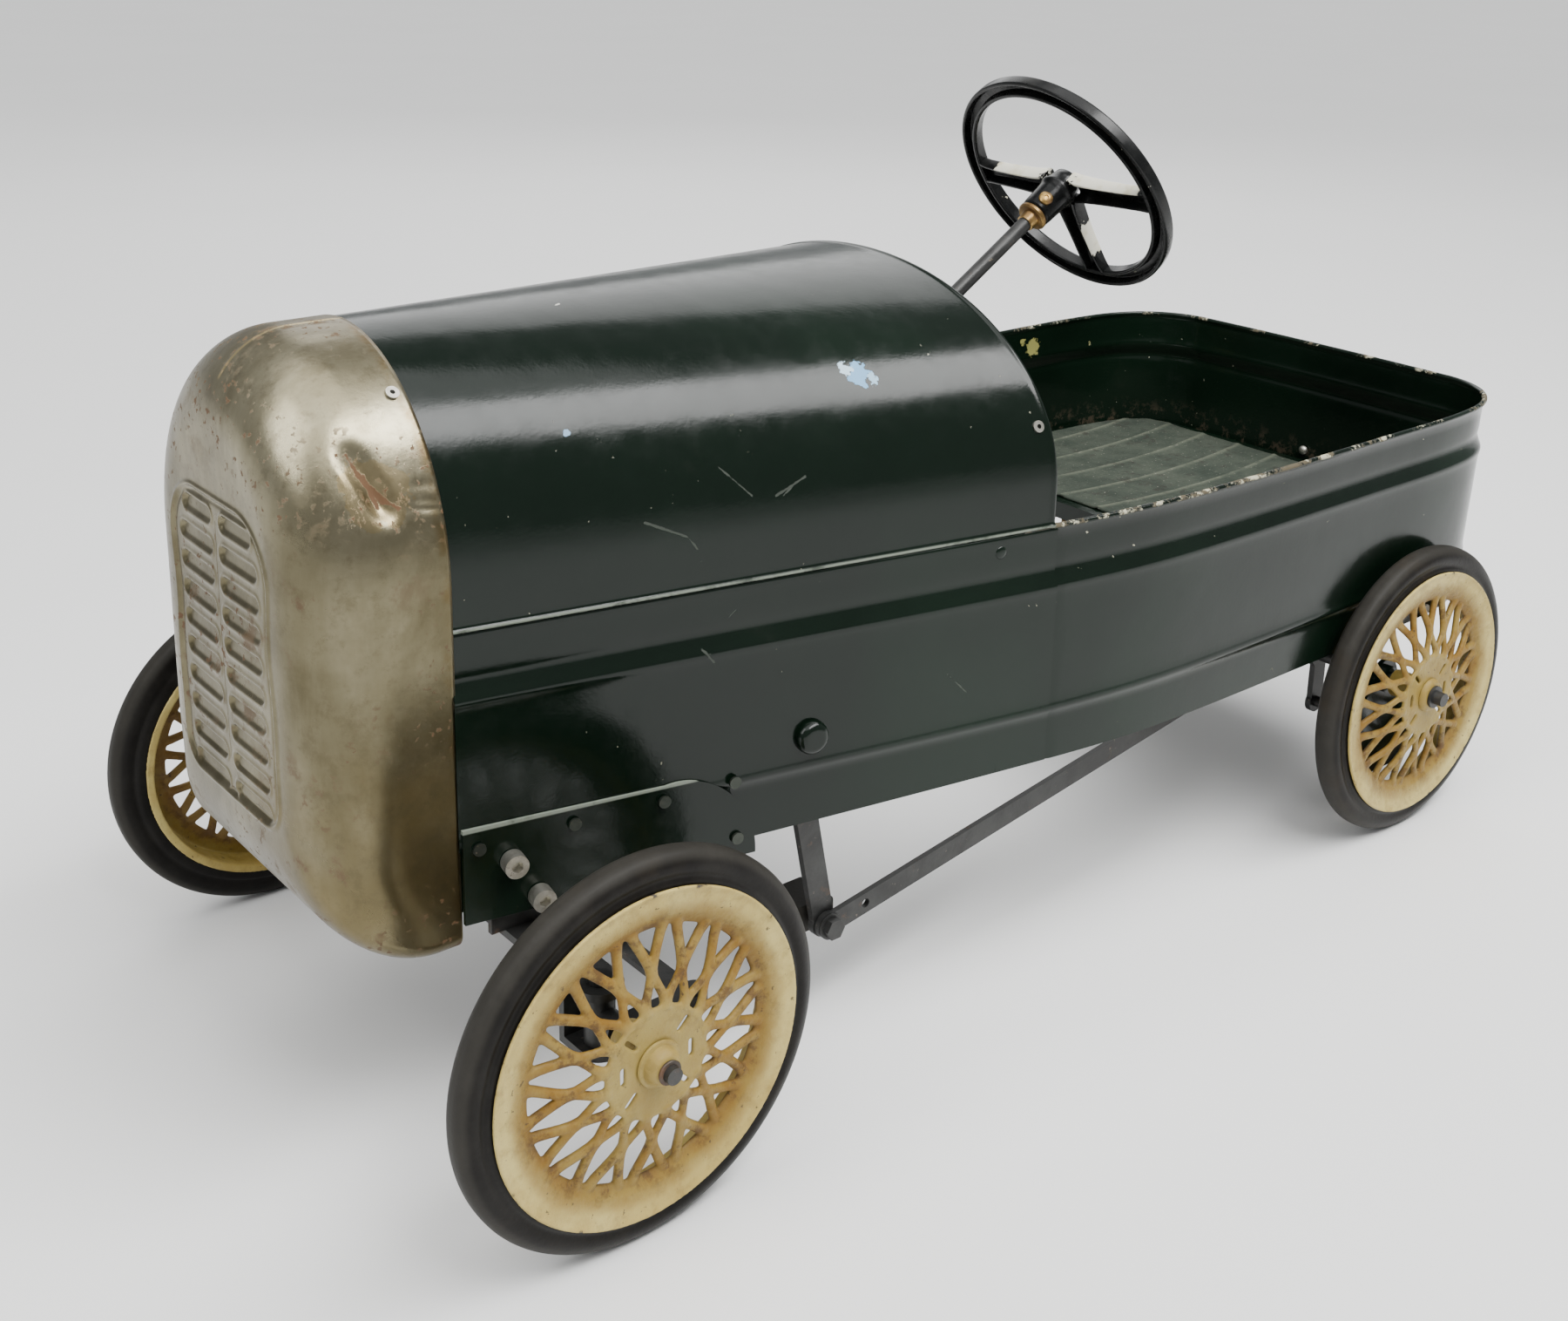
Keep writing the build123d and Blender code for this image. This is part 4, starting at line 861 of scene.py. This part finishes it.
DENT = (474.0, 98.0, 419.5)
ALONG_DENT = (-0.30, 0.44, -0.85)
INWARDS = (-0.30, -0.85, -0.44)
push_in(DENT, ALONG_DENT, 21.0, 8.5, 6.6, INWARDS)
push_in((471.5, 102.0, 409.5), ALONG_DENT, 10.0, 5.0, 2.6, INWARDS)
push_in((483.0, 95.5, 416.5), ALONG_DENT, 15.0, 3.0, -1.5, INWARDS)
push_in((465.0, 101.5, 421.5), ALONG_DENT, 17.0, 2.6, -1.3, INWARDS)
push_in((446.0, 108.5, 404.0), (1.0, 0.0, 0.25), 9.0, 3.0, 1.6, (0.0, -0.95, -0.3))
push_in((445.0, 105.0, 416.0), (1.0, 0.0, 0.15), 8.0, 2.6, 1.3, (0.0, -0.9, -0.4))
push_in((505.0, 78.0, 442.0), (0.2, 1.0, -0.3), 26.0, 16.0, 1.2, (-0.6, -0.4, -0.5))
nose_faces = grid_faces(len(nose_points) // AROUND, AROUND, wrap_cols=True)
nose = make_object("nose_skin", nose_points, nose_faces, steel)
thickness = nose.modifiers.new("sheet", "SOLIDIFY")
thickness.thickness = SHEET * MM
thickness.offset = -1.0
finish_piece(nose, "body", "bare_steel", "nose_shell")

# ---- wheels ----

def cone_depth(r):
    """How far the wheel's pressed face lies outside the rim plane at a radius."""
    return float(np.interp(r, (14.0, 30.0, 33.0, 76.0, 80.0), (3.2, 3.2, 2.5, -6.5, -5.6)))


def bar(points, widths, thick, sides=12):
    """A rounded bar along points on the wheel's face."""
    verts = []
    points = [np.array(p, float) for p in points]
    for k, p in enumerate(points):
        ahead = points[min(k + 1, len(points) - 1)] - points[max(k - 1, 0)]
        ahead /= np.linalg.norm(ahead)
        across = np.cross(ahead, (1.0, 0.0, 0.0))
        across /= np.linalg.norm(across)
        upward = np.cross(across, ahead)
        for j in range(sides):
            a = TAU * j / sides
            verts.append(p + across * (widths[k] / 2 * math.cos(a))
                         + upward * (thick / 2 * math.sin(a)))
    return verts, grid_faces(len(points), sides, wrap_cols=True, capped=True)


def slotted_disc():
    """The flat middle of the wheel: a thick disc with four slanted and two upright slots."""
    def ring(centre_y, centre_z, half_long, half_wide, turn, count):
        out = []
        for k in range(count):
            a = TAU * k / count
            u = half_wide * math.cos(a)
            v = half_wide * math.sin(a) + math.copysign(half_long - half_wide, math.sin(a))
            out.append((centre_y + u * math.cos(turn) - v * math.sin(turn),
                        centre_z + u * math.sin(turn) + v * math.cos(turn)))
        return out

    loops = [ring(0.0, 0.0, 33.5, 33.5, 0.0, 96), ring(0.0, 0.0, 9.0, 9.0, 0.0, 40)]
    for k in range(4):
        a = math.radians(45.0 + 90.0 * k)
        loops.append(ring(24.0 * math.cos(a), 24.0 * math.sin(a), 5.2, 1.5, a - math.pi / 2, 14))
    for side in (-1.0, 1.0):
        loops.append(ring(side * 22.5, 0.0, 5.6, 1.5, 0.0, 14))
    flat = bmesh.new()
    edges = []
    for loop in loops:
        corners = [flat.verts.new((3.0, y, z)) for y, z in loop]
        edges += [flat.edges.new(pair) for pair in zip(corners, corners[1:] + corners[:1])]
    bmesh.ops.triangle_fill(flat, use_beauty=True, edges=edges)
    made = bmesh.ops.extrude_face_region(flat, geom=list(flat.faces))
    for item in made["geom"]:
        if isinstance(item, bmesh.types.BMVert):
            item.co.x -= 2.9
    flat.verts.index_update()
    points = [tuple(v.co) for v in flat.verts]
    faces = [tuple(v.index for v in face.verts) for face in flat.faces]
    flat.free()
    return points, faces


def lattice_mesh():
    """The pressed lattice disc of one wheel as a single smooth skin."""
    points, faces = [], []

    def take(new_points, new_faces):
        start = len(points)
        points.extend(new_points)
        faces.extend(tuple(i + start for i in face) for face in new_faces)

    def at(r, degrees_round):
        a = math.radians(degrees_round)
        return (cone_depth(r) - 1.2, r * math.cos(a), r * math.sin(a))

    for k in range(16):
        turn = 22.5 * k
        for side in (-1.0, 1.0):
            outward = [(50.0, 0.3), (55.0, 1.0), (60.0, 2.7), (66.0, 4.8), (72.0, 6.6), (78.5, 8.1)]
            take(*bar([at(r, turn + side * d) for r, d in outward],
                      (6.4, 6.3, 6.2, 6.2, 6.6, 7.6), 5.2))
            inward = [(54.0, 0.2), (49.0, 1.4), (44.0, 4.2), (40.0, 7.2), (36.0, 9.6), (31.0, 10.8)]
            take(*bar([at(r, turn + side * d) for r, d in inward],
                      (6.2, 5.6, 5.4, 5.6, 6.4, 7.4), 4.4))
    dish = [(-2.4, 99.2), (-1.0, 99.9), (0.0, 99.4), (0.0, 98.2), (-1.0, 95.8), (-1.5, 91.6),
            (-2.5, 86.6), (-3.4, 82.4), (-5.2, 79.2), (-6.7, 75.9), (-8.6, 75.4), (-9.3, 76.5),
            (-8.0, 81.0), (-6.6, 86.0), (-5.4, 89.7), (-25.4, 89.7), (-25.5, 95.8),
            (-24.1, 95.9), (-24.0, 91.1), (-4.2, 91.1)]
    ring, segments = [], 160
    for k in range(segments):
        a = TAU * k / segments
        ring += [(u, r * math.cos(a), r * math.sin(a)) for u, r in dish]
    take(ring, grid_faces(segments, len(dish), wrap_rows=True, wrap_cols=True))
    take(*slotted_disc())
    rough = make_object("lattice_source", points, faces, None)
    shell = rough.modifiers.new("skin", "REMESH")
    shell.mode = "VOXEL"
    shell.voxel_size = 0.0008
    soften = rough.modifiers.new("soften", "SMOOTH")
    soften.factor = 0.5
    soften.iterations = 4
    graph = bpy.context.evaluated_depsgraph_get()
    made = bpy.data.meshes.new_from_object(rough.evaluated_get(graph))
    made.name = "lattice"
    made.shade_smooth()
    bpy.data.objects.remove(rough)
    return made


lattice = lattice_mesh()


def wheel_place(x, rim_y, side):
    """Matrix that puts a wheel built along +X on its axle, facing outwards."""
    place = Matrix.Translation(Vector((x, side * rim_y, AXLE_Z)) * MM)
    return place @ Matrix.Rotation(side * math.pi / 2, 4, "Z")


tyre_outline = rounded([(-23.7, 91.4), (-4.6, 91.4), (-3.0, 97.5), (-3.0, 100.8), (-4.6, 103.4),
                        (-3.4, 107.6), (-4.4, 112.4), (-7.2, 116.2), (-10.6, 117.6),
                        (-16.2, 117.6), (-19.6, 116.2), (-22.4, 112.4), (-23.4, 107.6),
                        (-22.2, 103.4), (-23.8, 100.8), (-24.0, 97.5)], 2.4, 4)
wheels = (("front", "left", "front_wheel_left"), ("front", "right", "front_wheel_right"),
          ("rear", "left", "driven_axle"), ("rear", "right", "rear_wheel_right"))
HUB_BORES = {"front": 5.1, "rear": 6.1}
HUB_SLEEVE = [(-27.0, 10.6), (-26.0, 11.0), (1.0, 11.0), (3.3, 11.8), (3.4, 13.6)]
HUB_NOSES = {"front": [(4.2, 14.0), (5.2, 13.6), (5.9, 11.6), (7.4, 11.2), (9.6, 10.4),
                       (11.6, 9.0), (12.8, 7.4), (13.0, 5.1)],
             "rear": [(4.6, 13.4), (6.6, 12.2), (7.5, 10.4), (7.5, 6.1)]}
CAP_OUTLINE = [(13.1, 5.2), (13.2, 6.9), (14.4, 7.3), (15.0, 6.9), (15.2, 5.2)]
for number, (end, hand, body) in enumerate(wheels):
    side = 1.0 if hand == "left" else -1.0
    x, rim_y = (FRONT_X, FRONT_RIM_Y) if end == "front" else (REAR_X, REAR_RIM_Y)
    place = wheel_place(x, rim_y, side)
    cream = cream_enamel(f"cream_{end}_{hand}", 1.7 * number + 0.3)
    disc_mesh = lattice.copy()
    disc_mesh.materials.clear()
    disc_mesh.materials.append(cream)
    disc = add_object(f"{end}_disc_{hand}", disc_mesh)
    disc.matrix_world = place
    finish_piece(disc, body, "cream_paint", f"{end}_wheel_disc_{hand}")
    black = rubber(f"rubber_{end}_{hand}", 0.9 * number + 0.2)
    tyre = lathe(f"{end}_rubber_{hand}", tyre_outline, black, 160)
    tyre.matrix_world = place
    finish_piece(tyre, body, "tyre", f"{end}_tyre_{hand}")
    if end == "front":
        cap = lathe(f"front_cap_{hand}", CAP_OUTLINE, brown_steel, 48)
        cap.matrix_world = place
        finish_piece(cap, body, "dark_steel", f"front_retainer_{hand}")
    profile = [(-27.0, HUB_BORES[end])] + HUB_SLEEVE + HUB_NOSES[end]
    hub = lathe(f"{end}_boss_{hand}", profile, cream, 96)
    hub.matrix_world = place
    finish_piece(hub, body, "cream_paint", f"{end}_hub_{hand}")

# ---- steering wheel ----

AXIS_BACK = Vector((-math.cos(COLUMN_ANGLE), 0.0, math.sin(COLUMN_ANGLE)))
AXIS_UP = Vector((math.sin(COLUMN_ANGLE), 0.0, math.cos(COLUMN_ANGLE)))
column_frame = Matrix((AXIS_BACK, Vector((0.0, -1.0, 0.0)), AXIS_UP)).transposed().to_4x4()
column_place = Matrix.Translation(WHEEL_CENTRE * MM) @ column_frame
rim_outline = rounded([(6.0, 84.6), (6.0, 93.0), (3.6, 95.8), (-4.6, 96.0), (-5.9, 95.0),
                       (-5.9, 92.6), (1.2, 92.2), (1.5, 85.8), (-5.9, 85.4), (-5.9, 83.0),
                       (-4.6, 82.0), (3.6, 82.2)], 1.2, 4)
wheel_rim = lathe("steering_rim", rim_outline, wheel_black, 160)
wheel_rim.data.transform(column_place)
finish_piece(wheel_rim, "steering_column", "black_paint", "steering_wheel")


def spoke(name, turn, enamel):
    """One channel spoke, open towards the dashboard, from the boss to the rim."""
    section = [(-7.9, -9.0), (-6.1, -9.0), (-5.3, 0.4), (5.3, 0.4), (6.1, -9.0), (7.9, -9.0),
               (8.3, 2.4), (6.2, 4.0), (-6.2, 4.0), (-8.3, 2.4)]
    section = rounded(section, 0.9, 3)
    points = []
    reaches = (12.0, 20.0, 32.0, 46.0, 62.0, 76.0, 83.6)
    shapes = ((1.35, 1.0), (1.16, 1.0), (1.04, 0.98), (0.97, 0.93), (0.97, 0.86), (1.04, 0.74),
              (1.22, 0.62))
    for reach, (wide, tall) in zip(reaches, shapes):
        for across, deep in section:
            points.append((deep * (tall if deep < 0.0 else 1.0), across * wide, reach))
    faces = grid_faces(len(reaches), len(section), wrap_cols=True, capped=True)
    made = make_object(name, points, faces, enamel, sharp=45)
    made.matrix_world = column_place @ Matrix.Rotation(turn, 4, "X")
    finish_piece(made, "steering_column", "black_paint")


spoke("spoke_left", math.pi / 2, spoke_black)
spoke("spoke_right", -math.pi / 2, mirror_black)
spoke("spoke_down", math.pi, lower_black)

boss_outline = [(4.8, 0.0), (5.0, 7.0), (4.6, 9.6), (3.2, 11.2), (-2.0, 12.2), (-8.6, 13.6),
                (-10.4, 14.6), (-11.8, 14.4), (-13.6, 13.6), (-17.0, 12.9), (-34.0, 12.2),
                (-36.6, 11.9), (-37.6, 10.8), (-37.8, 5.8)]
boss = lathe("steering_boss", boss_outline, wheel_black, 72, closed=False)
boss.matrix_world = column_place
finish_piece(boss, "steering_column", "black_paint")
collar = lathe("steering_collar", [(-38.2, 5.6), (-38.0, 10.6), (-39.4, 12.0), (-41.4, 12.0),
                                   (-42.6, 10.8), (-42.8, 7.6), (-46.0, 7.2), (-49.6, 6.6),
                                   (-49.9, 5.6)], brass_metal, 64)
collar.matrix_world = column_place
finish_piece(collar, "steering_column", "brass", "column_collar")
set_screw = lathe("steering_screw", [(0.0, 0.0), (0.0, 5.4), (1.6, 5.2), (2.8, 3.8), (3.2, 1.6),
                                     (2.4, 1.2), (2.4, 0.0)],
                  brass_metal, 40, closed=False)
set_screw.matrix_world = (column_place @ Matrix.Translation(Vector((-29.0, -8.0, 9.0)) * MM)
                          @ facing_x((0.0, -0.66, 0.75)))
finish_piece(set_screw, "steering_column", "brass")

# ---- seat mat ----

mat_points, mat_rows, mat_cols = [], 120, 300
MAT_FRONT = SEAT_FRONT_X - 10.5
for i in range(mat_rows):
    x = MAT_FRONT + (TAIL_X + 20.5 - MAT_FRONT) * i / (mat_rows - 1)
    edge = float(np.interp(-x, -left_half[:, 0], left_half[:, 1])) - 8.6
    if x < TAIL_X + 23.0:
        edge = min(edge, 150.0)
    for j in range(mat_cols):
        y = edge * (2.0 * j / (mat_cols - 1) - 1.0)
        line = y - 11.0 * (1.0 - ((x + 365.0) / 118.0) ** 2) + 4.0
        rib = math.exp(-((((line + 200.0) % 41.0) - 20.5) / 3.0) ** 2)
        fine = 0.10 * math.cos(line * TAU / 4.1)
        rim = 0.9 if j in (0, mat_cols - 1) or i in (0, mat_rows - 1) else 0.0
        mat_points.append((x, y, 226.0 + 0.95 * rib + fine - rim))
mat_faces = grid_faces(mat_rows, mat_cols)
seat_sheet = make_object("seat_matting", mat_points, mat_faces, seat_matting)
body_of_mat = seat_sheet.modifiers.new("mat", "SOLIDIFY")
body_of_mat.thickness = 0.0015
body_of_mat.offset = -1.0
finish_piece(seat_sheet, "body", "mat", "seat_mat")

tail_bolt = lathe("tail_bolt", [(-1.5, 0.0), (-1.5, 4.2), (0.0, 4.3), (1.4, 3.6), (2.2, 2.0),
                                (2.5, 0.0)], zinc_metal, 32,
                  closed=False)
tail_bolt.matrix_world = Matrix.Translation(Vector((-509.0, -2.0, 233.0)) * MM)
finish_piece(tail_bolt, "body", "zinc")

# ---- CAD pieces shown as they are ----

finishes = {
    "green_paint": side_green, "bare_steel": steel, "zinc": zinc_metal, "mat": seat_matting,
    "dark_steel": dark_steel, "black_paint": wheel_black, "brass": brass_metal,
    "tyre": pedal_black, "pedal_rubber": pedal_black,
}
special = {"front_plate_left": plate_green, "front_plate_right": plate_green,
           "bonnet_rivets": pop_rivet, "body_screws": screw_steel}
slot_of = {entry["node"]: entry["material_slot"] for entry in frame["record"]["subparts"]}
for name, obj in nodes.items():
    if slot_of[name] not in finishes or obj.get("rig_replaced"):
        continue
    obj.data.materials.clear()
    obj.data.materials.append(special.get(name, finishes[slot_of[name]]))
    soft = obj.modifiers.new("edges", "BEVEL")
    soft.width = 0.0005
    soft.segments = 2
    soft.limit_method = "ANGLE"
    soft.angle_limit = math.radians(35)

# ---- floor, light and camera ----

paper = Paint("pale_floor")
paper.color = paper.mix(paper.noise(2.0, 3.0), (0.80, 0.80, 0.79), (0.84, 0.84, 0.83))
paper.set(rough=0.7)
FLOOR_HALF = 40.0
floor_mesh = bpy.data.meshes.new("floor")
floor_mesh.from_pydata([(FLOOR_HALF * a, FLOOR_HALF * b, 0.0)
                        for a, b in ((-1, -1), (1, -1), (1, 1), (-1, 1))], [], [(0, 1, 2, 3)])
floor = add_object("floor", floor_mesh)
floor_mesh.materials.append(paper.material)
floor.location = (0.0, 0.0, -0.0006)

world = bpy.data.worlds.new("studio")
bpy.context.scene.world = world
world.use_nodes = True
background = world.node_tree.nodes["Background"]
background.inputs["Color"].default_value = (0.93, 0.95, 0.97, 1.0)
background.inputs["Strength"].default_value = 0.42


def soft_box(name, place, target, width, height, power):
    """An area light at a place, aimed at a target, in metres and watts."""
    light = bpy.data.lights.new(name, "AREA")
    light.shape = "RECTANGLE"
    light.size, light.size_y = width, height
    light.energy = power
    obj = add_object(name, light)
    obj.location = place
    aim = Vector(target) - Vector(place)
    obj.rotation_euler = aim.to_track_quat("-Z", "Y").to_euler()


soft_box("overhead", (-0.30, 1.15, 2.2), (0.1, 0.05, 0.4), 2.6, 0.75, 82.0)
soft_box("far_side", (-1.9, -2.4, 2.3), (0.0, 0.0, 0.4), 3.0, 2.2, 42.0)
soft_box("front", (2.4, 0.1, 1.9), (0.4, 0.0, 0.3), 0.9, 1.5, 22.0)
sky = bpy.data.lights.new("sky", "SUN")
sky.energy = 2.7
sky.angle = math.radians(70.0)
sky_light = add_object("sky", sky)
sky_light.rotation_euler = (math.radians(-12.0), math.radians(8.0), 0.0)

CAMERA_PLACE = Vector((0.9041, 0.9577, 0.7351))
AZIMUTH, ELEVATION, ROLL = math.radians(140.31), math.radians(16.46), math.radians(1.18)
back = Vector((math.sin(AZIMUTH) * math.cos(ELEVATION),
               -math.cos(AZIMUTH) * math.cos(ELEVATION), math.sin(ELEVATION)))
level = (-back).cross(Vector((0.0, 0.0, 1.0))).normalized()
upward = level.cross(-back)
camera_right = math.cos(ROLL) * level + math.sin(ROLL) * upward
camera_up = -math.sin(ROLL) * level + math.cos(ROLL) * upward
camera_data = bpy.data.cameras.new("camera")
camera_data.sensor_width = 36.0
camera_data.lens = 43.11
camera_data.shift_y = -0.1524
camera_data.clip_start = 0.01
camera_data.clip_end = 100.0
camera = add_object("camera", camera_data)
turned = Matrix((camera_right, camera_up, back)).transposed().to_4x4()
camera.matrix_world = Matrix.Translation(CAMERA_PLACE) @ turned
bpy.context.scene.camera = camera
